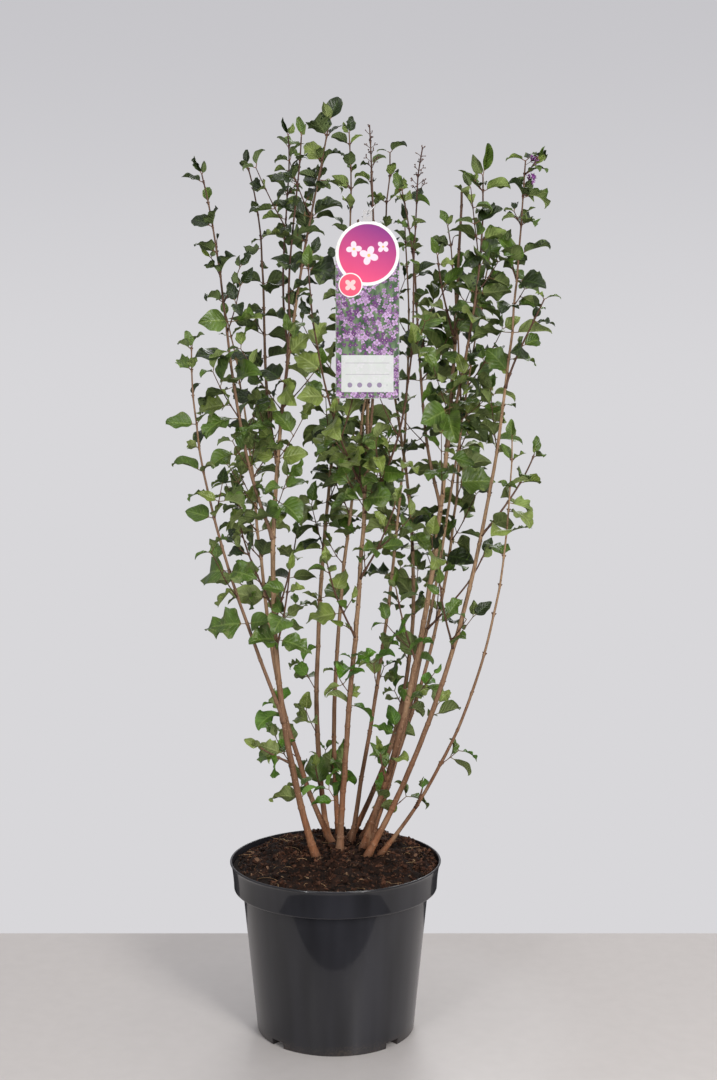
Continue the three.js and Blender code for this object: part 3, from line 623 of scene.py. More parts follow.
for name, shoot in shoots.items():
    if not shoot.is_cut:
        # The tip is taken back by the height of the leaves that stand on it.
        stem = shoot.stem
        above = LEAF.end * own(VIGOUR, name) * 0.92 * cos(own(SPREAD, name)) * MM
        keep = stem.far < stem.length - (0 if name in PANICLES else above)
        shoot.stem = Stem(stem.points[keep], stem.radii[keep])
        shoot.stem.nodes = stem.nodes[stem.nodes < shoot.stem.length]
growth = Growth()
reseed(5)
bearer = shoots[FRONT_TWIG.shoot].stem
far = bearer.length - FRONT_TWIG.below_end * MM
length, size = FRONT_TWIG.length * MM, FRONT_TWIG.leaf * MM
grow_twig(bearer, far, -TURN / 4, length, SPUR.radius, CROWN, kind_picker(bearer.points[-1], 0.1), size)
for name, shoot in shoots.items():
    if "leaves_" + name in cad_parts:
        grow_shoot(name, shoot.number, shoot.stem, shoot.leafy)
for shoot in shoots.values():
    grow_low_twigs(shoot.number, shoot.stem, shoot.leafy, shoot.is_cane)

# ---- blades

HALF_RING = 6
RING_ACROSS = np.array([3, 2, 1, 0, -1, -2, -3, -2, -1, 0, 1, 2]) / 3
RING_FACE = np.array([0] + [1] * 5 + [0] + [-1] * 5)
STALK_ROWS = np.array([0.0, 0.45, 0.9])
BLADE_ROWS = np.array([0.02, 0.07, 0.14, 0.22, 0.3, 0.38, 0.46, 0.54, 0.62, 0.7, 0.78, 0.86, 0.93, 0.985])
STALK_RADIUS = 0.62 * MM
BLADE_BODY = 0.26 * MM


def blade_shape(blades, seed, petals=False):
    """Closed shapes of many leaves, with their face slots (upper 0, under 1, stalk 2) and UVs. A leaf is
    one tube: a round stalk that widens into a flat blade. Along it the midrib pitches down by arch, and
    by hook near the tip. The half width is t^0.6 (1 - t)^1.1, scaled to a peak of one, where t is the
    share of the blade. Across it the sides rise by the fold, the edges wave, and a lens gives it body."""
    draws = np.random.default_rng(seed)
    each = (len(blades), 1)
    root, heading, up = (np.array([blade[i] for blade in blades])[:, None] for i in range(3))
    up = squared(up, heading)
    whole, given = (np.array([blade[i] for blade in blades], float)[:, None] for i in (3, 5))
    small = np.clip((52 * MM - whole) / (28 * MM), 0, 1)
    stalk = whole * LEAF.petiole * draws.uniform(0.8, 1.25, each)
    length = whole - stalk
    half = whole * LEAF.half_width * draws.uniform(0.86, 1.2, each) * (1 - 0.22 * small)
    fold = np.radians((draws.gamma(3.0, 7.5, each) * (1 + 0.5 * small)).clip(4, 62))
    arch = draws.normal(0.6 + 0.25 * small, 0.4, each).clip(-0.2, 1.7)
    arch = np.where(np.isnan(given), arch, given)
    hook = draws.gamma(1.8, 0.5, each).clip(0, 2.2)
    twist = draws.normal(0, 0.6, each)
    wave = (draws.gamma(3.2, 0.026, each) * (1 - 0.3 * small)).clip(0.025, 0.15)
    waves = draws.uniform(1.3, 3.1, each)
    phases = draws.uniform(0, TURN, (len(blades), 2))
    if petals:
        stalk, length, half = whole * 0.1, whole * 0.9, whole * 0.3
        fold, hook, twist, wave = fold * 0.4, hook * 0.3, twist * 0.3, wave * 0.3

    rows = np.concatenate([STALK_ROWS - 1, BLADE_ROWS])
    on_blade = rows >= 0
    t = np.clip(rows, 0, 1)
    pitch = -arch * t**1.2 - hook * np.clip((t - 0.68) / 0.32, 0, 1) ** 2
    middle = (pitch + np.concatenate([pitch[:, :1], pitch[:, :-1]], 1)) / 2
    run = np.diff(np.where(on_blade, stalk + t * length, (rows + 1) * stalk), axis=1, prepend=0)
    ahead = np.cumsum(run * np.cos(middle), 1)[..., None]
    above = np.cumsum(run * np.sin(middle), 1)[..., None]
    cosine, sine = np.cos(pitch)[..., None], np.sin(pitch)[..., None]
    spin = (twist * (t - 0.2))[..., None]
    sideways = np.cos(spin) * np.cross(up, heading) + np.sin(spin) * (cosine * up - sine * heading)
    facing = np.cross(cosine * heading + sine * up, sideways)

    u, t, on_blade = RING_ACROSS, t[:, None], on_blade[:, None]
    length, wave, bend = length[..., None], wave[..., None], fold[..., None]
    belly = np.sin(pi * t)
    width = np.maximum(3.02 * half[..., None] * t**0.6 * (1 - t) ** 1.1, STALK_RADIUS * (1 - 0.6 * t))
    body = np.where(on_blade, BLADE_BODY * (1 - 0.5 * t), STALK_RADIUS)
    swing = TURN * waves[..., None] * t + np.where(u > 0, phases[:, :1, None], phases[:, 1:, None])
    ripple = wave * length * np.abs(u) ** 1.6 * belly * np.sin(swing)
    notch = 1 + 1.2 * wave * np.cos(swing * 1.3) * u**2
    rib = -0.35 * MM * np.exp(-((u / 0.16) ** 2)) * belly
    puff = 0.012 * length * np.sin(pi * np.abs(u)) * belly
    lift = (np.abs(u) ** 1.15 * width * np.sin(bend) + ripple + rib + puff) * on_blade
    lift = lift + body * np.sqrt(np.maximum(1 - u**2, 0)) * RING_FACE
    side = u * width * np.where(on_blade, np.cos(bend) * notch, 1)
    rings = (root + ahead * heading + above * up)[:, :, None]
    rings = rings + side[..., None] * sideways[:, :, None] + lift[..., None] * facing[:, :, None]

    slots = np.zeros((len(rows) - 1, len(u)), int)
    slots[:, HALF_RING:] = 1
    slots[: len(STALK_ROWS)] = 0 if petals else 2
    fan_slots = np.concatenate([slots[0], np.repeat([0, 1], HALF_RING)])
    uv = np.stack(np.broadcast_arrays(0.5 + 0.5 * u, t), -1)
    uvs = np.concatenate([uv.reshape(-1, 2), uv[[0, -1]].mean(1)])
    count = len(blades)
    return loft(rings), np.tile(slots.ravel(), count), np.tile(fan_slots, count), np.tile(uvs, (count, 1))


# ---- materials


class Wire:
    """A shader socket that takes part in sums: each operator adds one Math node."""

    def __init__(self, nodes, socket):
        self.nodes = nodes
        self.socket = socket

    def math(self, operation, *others):
        return self.nodes.node("Math", self, *others, operation=operation)

    def __rsub__(self, other):
        return self.nodes.node("Math", other, self, operation="SUBTRACT")

    __add__ = partialmethod(math, "ADD")
    __sub__ = partialmethod(math, "SUBTRACT")
    __mul__ = partialmethod(math, "MULTIPLY")
    __truediv__ = partialmethod(math, "DIVIDE")
    __pow__ = partialmethod(math, "POWER")
    __abs__ = partialmethod(math, "ABSOLUTE")

    def step(self, low, high):
        """0 below low, 1 above high, and a smooth rise between. It falls if low is above high."""
        if low > high:
            return 1 - self.step(high, low)
        return self.nodes.node("MapRange", self, low, high, interpolation_type="SMOOTHSTEP")


class Nodes:
    """A tree of shader nodes."""

    def __init__(self, tree):
        self.tree = tree

    def node(self, kind, *inputs, output=0, named=None, **settings):
        """Adds any node, given its type, its inputs in order or by name or number, and its settings."""
        node = self.tree.nodes.new("ShaderNode" + kind)
        for key, value in settings.items():
            setattr(node, key, value)
        for key, value in [*enumerate(inputs), *(named or {}).items()]:
            if isinstance(value, Wire):
                self.tree.links.new(value.socket, node.inputs[key])
            else:
                node.inputs[key].default_value = value
        return Wire(self, node.outputs[output])

    def place(self):
        """The point's place on the object, in metres."""
        return self.node("TexCoord", output="Object")

    def axes(self, vector):
        return [self.node("SeparateXYZ", vector, output=i) for i in range(3)]

    def stretched(self, vector, scale):
        """A place multiplied by a scale for each axis."""
        return self.node("VectorMath", vector, scale, operation="MULTIPLY")

    def noise(self, vector, scale, detail=3, rough=0.55):
        named = {"Vector": vector, "Scale": scale, "Detail": detail, "Roughness": rough}
        return self.node("TexNoise", named=named)

    def blend(self, share, low, high):
        """A colour mixed from low to high by a share from 0 to 1. Each is a wire, a list of linear light or
        a colour as it looks on a screen, from 0 to 255."""
        low, high = (rgb(*end) if isinstance(end, tuple) else end for end in (low, high))
        return self.node("Mix", share, named={6: low, 7: high}, output=2, data_type="RGBA", clamp_factor=True)


class Paint(Nodes):
    """One material on the Principled shader, whose sockets are fed by wires or set to constants."""

    def __init__(self, name, **constants):
        self.material = bpy.data.materials.new(name)
        self.material.use_nodes = True
        super().__init__(self.material.node_tree)
        self.shader = self.tree.nodes["Principled BSDF"]
        for socket, value in constants.items():
            self.shader.inputs[socket.replace("_", " ")].default_value = value

    def feed(self, socket, value):
        self.tree.links.new(value.socket, self.shader.inputs[socket])

    def done(self, colour, rough=None, relief=None, strength=0.5, depth=0.5):
        """The material, once its colour, roughness and bump, of a depth in millimetres, are fed."""
        self.feed("Base Color", colour)
        if rough:
            self.feed("Roughness", rough)
        if relief:
            named = {"Strength": strength, "Distance": depth * MM, "Height": relief}
            self.feed("Normal", self.node("Bump", named=named))
        return self.material


def rgb(*colour, share=1):
    """A colour given as it looks on a screen, from 0 to 255, as a share of its linear light."""
    shares = (value / 255 for value in colour)
    linear = [value / 12.92 if value <= 0.04045 else ((value + 0.055) / 1.055) ** 2.4 for value in shares]
    return [*(value * share for value in linear), 1]


def mottled(name, scale, ends, low, high, rough=None, bump=(), **constants):
    """A material of two colours mixed by noise, from one to the other between the noise's two ends, or
    evenly if none are given. The roughness is a constant and a share of the noise."""
    paint = Paint(name, **constants)
    noise = paint.noise(paint.place(), scale, 2)
    colour = paint.blend(noise.step(*ends) if ends else noise, low, high)
    rough = noise * rough[1] + rough[0] if rough else None
    return paint.done(colour, rough, noise if bump else None, *bump)


def leaf_paint(name, body, vein, depth=1.0, gloss=0.34):
    """A leaf's face: body colour with paler midrib and forward-slanting side veins, mottled, and
    quilted between the veins. Veins run where 6.5 (v - 0.3 a) is near a whole number, with v along the
    leaf and a away from the midrib."""
    paint = Paint(name, Specular_IOR_Level=0.55)
    across, along, _ = paint.axes(paint.node("UVMap"))
    away = abs(across - 0.5) * 2
    ridge = abs(((along - away * 0.3) * 6.5).math("FRACT") - 0.5) * 2
    lines = (ridge.step(0.8, 0.98) * away.step(1.0, 0.35)).math("MAXIMUM", away.step(0.13, 0.02))
    place = paint.place()
    grain = paint.noise(place, 900, 2)
    ground = paint.blend(paint.noise(place, 55, 2).step(0.3, 0.7), rgb(*body, share=0.62), body)
    relief = (grain * 0.12 - ridge * 0.6 - lines * 0.8) * away.step(1.02, 0.8) * depth
    colour = paint.blend(lines * 0.5 + grain * 0.06, ground, vein)
    return paint.done(colour, grain * 0.14 + gloss, relief, 0.6, 0.9)


def bark_paint(name, low, high, top, streak, lenticel):
    """Bark: a colour that shifts with height twice, warmer in spots low down and stained just above the
    soil, with streaks that run along the stem, pale cross marks and patches of the half-way colour.
    The streaks are noise stretched upwards, and the marks are flattened cells."""
    paint = Paint(name, Specular_IOR_Level=0.3)
    place = paint.place()
    height = paint.axes(place)[2]

    def stretched_noise(sideways, upwards, detail):
        return paint.noise(paint.stretched(place, (sideways, sideways, upwards)), 1, detail)

    base = paint.blend(height.step(0.4, 0.75), low, high)
    base = paint.blend(height.step(0.95, 1.25), base, top)
    blush = stretched_noise(45, 9, 2).step(0.36, 0.6)
    base = paint.blend(height.step(0.46, 0.27) * blush * 0.65, base, (146, 90, 56))
    base = paint.blend(height.step(0.285, 0.262) * 0.5, base, (66, 44, 32))
    fibre = stretched_noise(900, 55, 4)
    patch = stretched_noise(60, 18, 3)
    named = {"Vector": paint.stretched(place, (420, 420, 900)), "Scale": 0.32}
    mark = paint.node("TexVoronoi", named=named, output="Distance").step(0.2, 0.08)
    base = paint.blend(fibre.step(0.42, 0.68) * 0.75, base, streak)
    base = paint.blend(patch.step(0.5, 0.75) * 0.5, base, high)
    return paint.done(paint.blend(mark * 0.4, base, lenticel), 0.72 - fibre * 0.12, fibre + mark * 0.6)


TINTS = {
    # name: the upper face's body and veins, the underside's body and veins
    # deep: a darker leaf, which kind_picker also deals out as painted shade at the back and on the left
    "deep": ((37, 52, 16), (72, 94, 42), (90, 106, 58), (128, 142, 86)),
    "green": ((82, 110, 36), (128, 150, 74), (108, 124, 64), (146, 158, 94)),
    "olive": ((124, 141, 62), (162, 175, 104), (124, 138, 76), (158, 168, 104)),
    "fresh": ((90, 116, 42), (132, 152, 72), (130, 150, 74), (164, 178, 104)),
    "bright": ((78, 122, 16), (118, 156, 52), (100, 140, 48), (140, 170, 80)),
}
leaf_paints = {}
for tint, colours in TINTS.items():
    under_paint = leaf_paint(f"leaf_{tint}_under", *colours[2:], -1.3, 0.6)
    leaf_paints[tint] = [leaf_paint(f"leaf_{tint}", *colours[:2]), under_paint]
BARKS = {
    # name: colour low down, half way up and at the top, streaks, cross marks
    "leaf_stalk": ((104, 98, 50), (112, 96, 58), (118, 82, 62), (88, 62, 44), (140, 132, 80)),
    "cane_bark": ((125, 91, 68), (163, 133, 103), (102, 78, 64), (94, 64, 44), (206, 178, 148)),
    "bough_bark": ((130, 98, 75), (140, 110, 86), (90, 66, 55), (84, 60, 48), (170, 144, 120)),
    "young_bark": ((112, 83, 63), (102, 74, 58), (82, 56, 48), (62, 44, 37), (144, 118, 96)),
}
stalk_paint, cane_paint, bough_paint, young_paint = (
    bark_paint(name, *colours) for name, colours in BARKS.items()
)
PLAIN = {
    # name: noise scale, its two ends, the two colours, further settings
    "cut_wood": (900, (0.35, 0.7), (176, 146, 108), (206, 182, 142), {"bump": (0.3, 0.3), "Roughness": 0.8}),
    "petal": (700, (0.3, 0.7), (118, 52, 128), (176, 108, 184), {"Roughness": 0.5}),
    "flower_bud": (500, (0.35, 0.65), (70, 46, 48), (112, 84, 66), {"Roughness": 0.6}),
    "strap": (900, None, (206, 206, 206), (226, 226, 224), {"rough": (0.35, 0.1), "Specular_IOR_Level": 0.5}),
}
cut_paint, petal_paint, head_paint, strap_paint = (
    mottled(name, *given, **more) for name, (*given, more) in PLAIN.items()
)

# ---- canes, boughs and young stems

canes, boughs, young = Heap(), Heap(), Heap()
for index, (name, shoot) in enumerate(shoots.items()):
    stem = shoot.stem
    if shoot.is_cane:
        rings = tube_rings(stem, 6 * MM, 16, relief=0.055, seed=index)
        if shoot.is_cut:
            offset = rings[0, -1] - rings[0, -1].mean(0)
            rings[0, -1] += 0.55 * (offset @ (0.8, -0.6, 0))[:, None] * stem.heading(stem.length)
        canes.add(loft(rings), fan_slots=np.repeat([0, int(shoot.is_cut)], 16))
    elif name.startswith("bough"):
        boughs.add(loft(tube_rings(stem, 6 * MM, 12, relief=0.04, seed=index)))
    else:
        young.add(loft(tube_rings(stem, 7 * MM, 8)))
for twig in growth.twigs:
    young.add(loft(tube_rings(twig, 9 * MM, 6)))


def columns(rows):
    """An array for each column of a list of rows."""
    return [np.array(column) for column in zip(*rows)]


def bud_shape(roots, headings, lengths, radii, rod=False):
    """Buds: short tubes along a heading whose radius is the sine of the share, a bit fuller low down,
    or, as rods, even all along."""
    shares = np.array([0.02, 0.2, 0.45, 0.7, 0.96])
    profile = np.ones(5) if rod else np.sin(pi * shares**0.8) ** 0.8 + 0.05
    across = unit(np.cross(headings, (0.31, 0.52, 0.79)))
    rounds = hoops(across, np.cross(headings, across), 6)[:, None]
    radii = (profile * radii[:, None])[..., None, None]
    return loft(spines(roots, headings, lengths, shares)[:, :, None] + rounds * radii)


bud_list = []
for shoot in shoots.values():
    stem = shoot.stem
    full = 1.3 if shoot.is_cane else 1
    for node in stem.nodes:
        turn = rng.uniform(0, TURN)
        for side in (0, pi):
            heading = branching(stem.heading(node), turn + side, radians(38))
            root = stem.at(node) + heading * stem.radius(node) * 0.8
            length, radius = rng.uniform(2.6, 4.0), rng.uniform(0.75, 1.15)
            bud_list.append((root, heading, length * full * MM, radius * full * MM))
young.add(bud_shape(*columns(bud_list)))

# ---- panicles

stalks, bud_heads, petals = [], [], []
for name in PANICLES:
    stem = shoots[name].stem
    spin = 0.4
    for tier in range(7):
        far = stem.length - (4 + 9.5 * tier) * MM
        root = stem.at(far)
        spin += TURN / 4
        for side in (0, pi):
            heading = branching(stem.heading(far), spin + side + rng.normal(0, 0.2), radians(52))
            reach = (2.5 + 2.0 * tier) * MM * rng.uniform(0.7, 1.15)
            stalks.append((root, heading, reach))
            for _ in range(1 + tier // 2):
                off = branching(heading, rng.uniform(0, 6.28), radians(rng.uniform(10, 55)))
                end = root + heading * reach * rng.uniform(0.55, 1.0)
                stalks.append((end, off, 3.2 * MM))
                length, radius = rng.uniform(2.2, 3.4), rng.uniform(0.75, 1.15)
                bud_heads.append((end + off * 3 * MM, off, length * MM, radius * MM))
bearer = shoots[FLORETS.shoot].stem
stalk, tube, petal_length = FLORETS.stalk * MM, FLORETS.tube * MM, FLORETS.petal * MM
for below in FLORETS.below_end:
    root = bearer.at(bearer.length - below * MM)
    heading = unit(np.array([0.8, -0.35, 0.5]) + rng.normal(0, 0.08, 3))
    stalks.append((root, heading, stalk))
    for order in range(FLORETS.count):
        off = branching(heading, order * 2.4, radians(12 + 9 * order))
        start = root + heading * stalk * (1 - 0.06 * order)
        stalks.append((start, off, tube))
        for petal in range(4):
            out = branching(off, petal * TURN / 4 + rng.uniform(-0.2, 0.2), radians(70))
            petals.append((start + off * tube, out, off, petal_length, "petal", -0.5))
roots, headings, lengths = columns(stalks)
stalk_shape = bud_shape(roots, headings, lengths * 1.1, np.full(len(roots), 0.4 * MM), rod=True)


def named(start):
    """The names of the solids that start with a word."""
    return [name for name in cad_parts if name.startswith(start)]


canes.piece("canes", "cane_bark", [cane_paint, cut_paint], named("cane_"), crease=60)
boughs.piece("boughs", "bough_bark", [bough_paint], named("bough_"))
young.piece("young_stems", "bough_bark", [young_paint], named("leaves_"))
Heap().add(stalk_shape).piece("flower_stalks", "bough_bark", [young_paint], ["leaves_bough_tagged"])
heads = Heap().add(bud_shape(*columns(bud_heads)))
heads.piece("flower_buds", "foliage", [head_paint], ["leaves_bough_tagged"])
petal_heap = Heap().add(*blade_shape(petals, 5, petals=True))
petal_heap.piece("petals", "foliage", [petal_paint] * 2, ["leaves_cane_11"], crease=70)

# ---- leaves

MOST_LEAVES = 440  # in one piece
for order, (tint, paints) in enumerate(leaf_paints.items()):
    blades = [blade for blade in growth.blades if blade[4] == tint]
    for part in range(0, len(blades), MOST_LEAVES):
        leaves = Heap().add(*blade_shape(blades[part : part + MOST_LEAVES], 100 + 10 * order + part))
        name = f"leaves_{tint}_{part // MOST_LEAVES + 1}"
        leaves.piece(name, "foliage", [*paints, stalk_paint], named("leaves_"), crease=75)

# ---- pot

POT = Sizes(
    height=262, rim_radius=160, rim_foot_radius=154, rim_height=43, shoulder_radius=141, base_radius=120,
    wall=3, floor=12, half_channel=12, channel_height=10, channel_inner=62, wall_columns=46,
    channel_columns=7,
)


def arc(centre, radius, start, end, count):
    """Points on a circle in the plane of radius and height, from one angle in degrees to another."""
    angles = np.radians(np.linspace(start, end, count))
    return [(centre[0] + radius * cos(a), centre[1] + radius * sin(a)) for a in angles]


def pot_profile():
    """Radius and height from the middle of the underside out and up the wall, round the rim and its
    lip, and down the inside to the middle of the floor."""
    base, shoulder, rim, rim_foot = POT.base_radius, POT.shoulder_radius, POT.rim_radius, POT.rim_foot_radius
    wall, floor, inner, top = POT.wall, POT.floor, POT.channel_inner, POT.channel_height
    foot = POT.height - POT.rim_height
    slope = (shoulder - base) / (foot - 2)
    heights = (top, top + 0.01, 30, 70, 110, 150, 190, foot - 6, foot - 4.2, foot - 3)
    points = [(14, 0), (40, 0), (inner, 0), (inner + 0.01, 0), (base - 20, 0)]
    points += arc((base - 2, 2), 2, -90, 5, 5)
    points += [(base + slope * (z - 2), z) for z in heights]
    points += arc((shoulder + 2.6, foot - 2.6), 2.6, 180, 90, 5)
    points += arc((rim_foot - 2.4, foot + 2.6), 2.6, -90, 5, 6)
    for share in np.linspace(0.12, 0.86, 7):
        hollow = 0.9 * sin(pi * share)
        points.append((mix(rim_foot, rim - 1.2, share) - hollow, foot + POT.rim_height * share))
    points += [(rim - 1.5, 258.2), (rim - 0.7, 258.9)]
    points += arc((rim - 1.4, 260.4), 1.5, -35, 90, 7)
    points += arc((rim - wall + 1.3, 260.6), 1.4, 90, 180, 5)
    points += [(rim - wall - 0.6, 256), (rim - wall - 1.6, 248), (rim_foot - wall, foot + wall)]
    points += [(shoulder - wall, foot), (base - wall, floor), (60, floor), (12, floor)]
    return np.array(points)


def pot_shape():
    """The profile turned about Z. The columns lean so that some run along the edges of four channels
    in the foot, at the angle asin(half width / radius) on both sides of each, and between those
    edges the underside is raised to the channel's height."""
    r, z = pot_profile().T[..., None]
    channel = np.linspace(-1, 1, POT.channel_columns)
    wall = np.linspace(0, 1, POT.wall_columns)
    starts = np.repeat(np.radians(45 + 90 * np.arange(4)), len(channel) + len(wall))
    base = starts + np.tile(np.concatenate([channel * 0, wall * TURN / 4]), 4)
    share = np.tile(np.concatenate([channel, 1 - 2 * wall]), 4)
    in_channel = np.tile(np.concatenate([channel * 0 + 1, wall * 0]), 4)
    angles = base + share * np.arcsin(POT.half_channel / np.maximum(r, POT.channel_inner))
    raised = (r > POT.channel_inner + 0.005) * in_channel * POT.channel_height
    return loft(np.stack([r * np.cos(angles), r * np.sin(angles), np.maximum(z, raised)], -1)[None] * MM)


def weld(piece):
    """Joins points that lie in one place, and drops the faces that had no area."""
    net = bmesh.new()
    net.from_mesh(piece.data)
    bmesh.ops.remove_doubles(net, verts=net.verts, dist=1e-6)
    bmesh.ops.dissolve_degenerate(net, edges=net.edges, dist=1e-7)
    net.to_mesh(piece.data)
    net.free()
    piece.data.set_sharp_from_angle(angle=radians(40))


def pot_paint():
    """Dark plastic with a broad sheen and a sharp one over it: fine moulded grain, faint streaks down
    the wall, and dust from the soil that thins out below the lip and above the foot."""
    paint = Paint("pot_plastic", Specular_IOR_Level=0.2, Coat_Weight=0.62, Coat_Roughness=0.08)
    place = paint.place()
    height = paint.axes(place)[2]
    cloud = paint.noise(place, 9, 3)
    streak = paint.noise(paint.stretched(place, (22, 22, 1.4)), 1, 2)
    speck = paint.noise(place, 330, 2)
    dusty = height.step(0.236, 0.262) * 0.5 + height.step(0.05, 0.0) * 0.7
    dust = (dusty * (speck * 0.7 + cloud * 0.6)).step(0.3, 0.9)
    ground = paint.blend(streak.step(0.3, 0.75) * 0.75 + cloud * 0.25, (24, 24, 27), (44, 44, 49))
    rough = cloud * 0.06 + streak * 0.06 + dust * 0.3 + 0.27
    relief = paint.noise(place, 1400, 2) + streak * 0.6
    return paint.done(paint.blend(dust * 0.6, ground, (104, 88, 72)), rough, relief, 0.08, 0.4)


weld(Heap().add(pot_shape()).piece("nursery_pot", "pot_plastic", [pot_paint()], ["pot"]))

# ---- soil, bark chips and fibres

SOIL = Sizes(edge=253, crown=268, edge_radius=155.2, crown_radius=84, centre=(17, 40), under=226)
# Size, seed and height of the soil's lumps.
SOIL_LUMPS = [(26, 3, 3.2), (12, 4, 2.6), (5, 5, 1.0)]


def soil_surface(radius, angle):
    """A point of the soil's top for a radius and an angle. The rise goes from 0 at the edge to 1 at the
    crown's rim as 1 - (1 - share)^1.5, and moves the point towards the crown's middle."""
    share = np.clip((SOIL.edge_radius - radius) / (SOIL.edge_radius - SOIL.crown_radius), 0, 1)
    rise = 1 - (1 - share) ** 1.5
    x = radius * np.cos(angle) + SOIL.centre[0] * rise
    y = radius * np.sin(angle) + SOIL.centre[1] * rise
    height = mix(SOIL.edge, SOIL.crown - 1.5, rise) + 0 * x
    points = np.stack([x, y, height], -1) * MM
    rough = sum(lumps(points, size * MM, seed) * tall for size, seed, tall in SOIL_LUMPS)
    points[..., 2] += rough * MM * np.clip(share * 3, 0.25, 1)
    return points


def soil_shape(around=200):
    """The root ball's top as a closed shape: a flat underside, a short side and the rough mound."""
    edge = SOIL.edge_radius
    flat = hoops(np.array([1, 0, 0]), BACK, around)
    low = [(flat * radius + UP * SOIL.under) * MM for radius in (20, 100, edge - 5)]
    radii = np.concatenate([edge - 3.2 * np.arange(47), [3]])[:, None]
    return loft(np.concatenate([low, soil_surface(radii, np.arange(around) * TURN / around)])[None])


def scatter(count, low, high, flat, seed, tilt, spread=150):
    """Roots, directions and sizes of many bits spread over the soil: lengths drawn between two sizes,
    small ones far more often, and widths and heights as shares of the length and the width."""
    draws = np.random.default_rng(seed)
    radius = spread * np.sqrt(draws.random(count))
    roots = soil_surface(radius, draws.uniform(0, TURN, count))
    yaw, pitch = draws.uniform(0, TURN, count), draws.normal(0, tilt, count)
    headings = np.stack([np.cos(yaw) * np.cos(pitch), np.sin(yaw) * np.cos(pitch), np.sin(pitch)], -1)
    lengths = (low + (high - low) * draws.random(count) ** 2.6) * MM
    widths = lengths * draws.uniform(0.2, 0.85, count)
    return draws, roots, headings, lengths, widths, widths * draws.uniform(*flat, count)


def chip_shape(count, low, high, seed, spread):
    """Bark chips: flat tubes of five sides and four rings about their middle, each corner moved at random."""
    drawn = scatter(count, low, high, (0.4, 0.95), seed, 0.45, spread)
    draws, roots, headings, lengths, widths, heights = drawn
    across = squared(unit(np.cross(UP, headings) + draws.normal(0, 0.3, (count, 3))), headings)
    aside = np.cross(headings, across)
    profile = np.array([0.55, 1, 0.95, 0.4])[:, None, None]
    jitter = draws.uniform(0.4, 1.45, (count, 4, 5, 1))
    rounds = hoops(across * widths[:, None] / 2, aside * heights[:, None] / 2, 5, 0.4)[:, None]
    centres = spines(roots, headings, lengths, np.array([-0.5, -0.3, 0.25, 0.5]))
    centres[..., 2] += heights[:, None] * 0.3
    return loft(centres[:, :, None] + rounds * profile * jitter)


def fibre_shape(count, seed):
    """Fibres: thin four-sided tubes on an arc that lies over the chips, with its ends low."""
    draws, roots, headings, lengths, _, _ = scatter(count, 10, 42, (1, 1), seed, 0.12)
    across = unit(np.cross(UP, headings))
    shares = np.linspace(-0.5, 0.5, 8)
    bow = (0.25 - shares**2)[:, None]
    wander = across[:, None] * draws.normal(0, 0.22, (count, 1, 1)) * lengths[:, None, None] * bow * 3
    lift = UP * bow * 4 * draws.uniform(0.5, 3.5, (count, 1, 1)) * MM
    rounds = hoops(across, np.cross(headings, across), 4)[:, None]
    radii = draws.uniform(0.2, 0.42, (count, 1, 1, 1)) * MM
    return loft((spines(roots, headings, lengths, shares) + wander + lift)[:, :, None] + rounds * radii)


def earth_paint(name, low, high):
    """Earth or bark in crumbs: two browns mixed by noise at the size of the crumbs and of their grain,
    darker in patches."""
    paint = Paint(name, Specular_IOR_Level=0.2)
    place = paint.place()
    coarse = paint.noise(place, 130, 4, 0.7)
    fine = paint.noise(place, 700, 3, 0.7)
    patch = paint.noise(place, 34, 3, 0.6)
    ground = paint.blend((coarse * 0.6 + fine * 0.5).step(0.4, 0.72), low, high)
    colour = paint.blend(patch.step(0.55, 0.42) * 0.75, ground, rgb(*low, share=0.35))
    return paint.done(colour, 0.92 - fine * 0.15, coarse + fine * 0.6, 0.8, 1.2)


CHIPS = [
    # paint, how many, shortest, longest, how far from the middle, in millimetres
    (0, 2000, 2.5, 10, 150),
    (0, 110, 6, 17, 62),
    (1, 1500, 2, 10, 150),
    (2, 620, 2, 9, 150),
    (3, 80, 1.5, 8, 150),
]
chips = Heap()
for order, (slot, count, low, high, spread) in enumerate(CHIPS):
    chips.add(chip_shape(count, low, high, 20 + order, spread), slot, slot)
soil_paint = earth_paint("soil", (20, 11, 6), (56, 34, 23))
fibre_paint = earth_paint("fibre", (140, 108, 76), (184, 154, 116))
chip_paints = [
    earth_paint("chip_dark", (36, 20, 12), (80, 50, 36)),
    earth_paint("chip_red", (62, 37, 25), (112, 76, 57)),
    earth_paint("chip_brown", (86, 61, 46), (134, 104, 82)),
    earth_paint("chip_pale", (136, 108, 80), (176, 150, 118)),
]
Heap().add(soil_shape()).piece("soil_mound", "soil", [soil_paint], ["soil"], crease=60)
chips.piece("bark_chips", "soil", chip_paints, ["soil"], crease=30)
Heap().add(fibre_shape(90, 31)).piece("soil_fibres", "soil", [fibre_paint], ["soil"])

# ---- tag and strap

TAG = Sizes(turn=-4, head=53.5, foot=256.5, eyelet_below_top=6)
STRAP = Sizes(centre=(52.8, -92.3, 1224), radius=8, thickness=1.6, lean=45)


def distance(x, y):
    """The root of x^2 + y^2."""
    return (x * x + y * y) ** 0.5


def disc(right, up, centre, radius):
    """1 inside a circle on the card, and 0 outside it."""
    return (distance(right - centre[0], up - centre[1]) - radius).step(0.3, -0.3)


def floret(right, up, size, turn):
    """1 on a four-petalled floret about the origin: its edge lies at size (0.4 + 0.6 |cos 2 angle|)."""
    edge = abs(((up.math("ARCTAN2", right) + turn) * 2).math("COSINE")) * 0.6 + 0.4
    return (distance(right, up) - edge * size).step(0.04 * size, -0.04 * size)


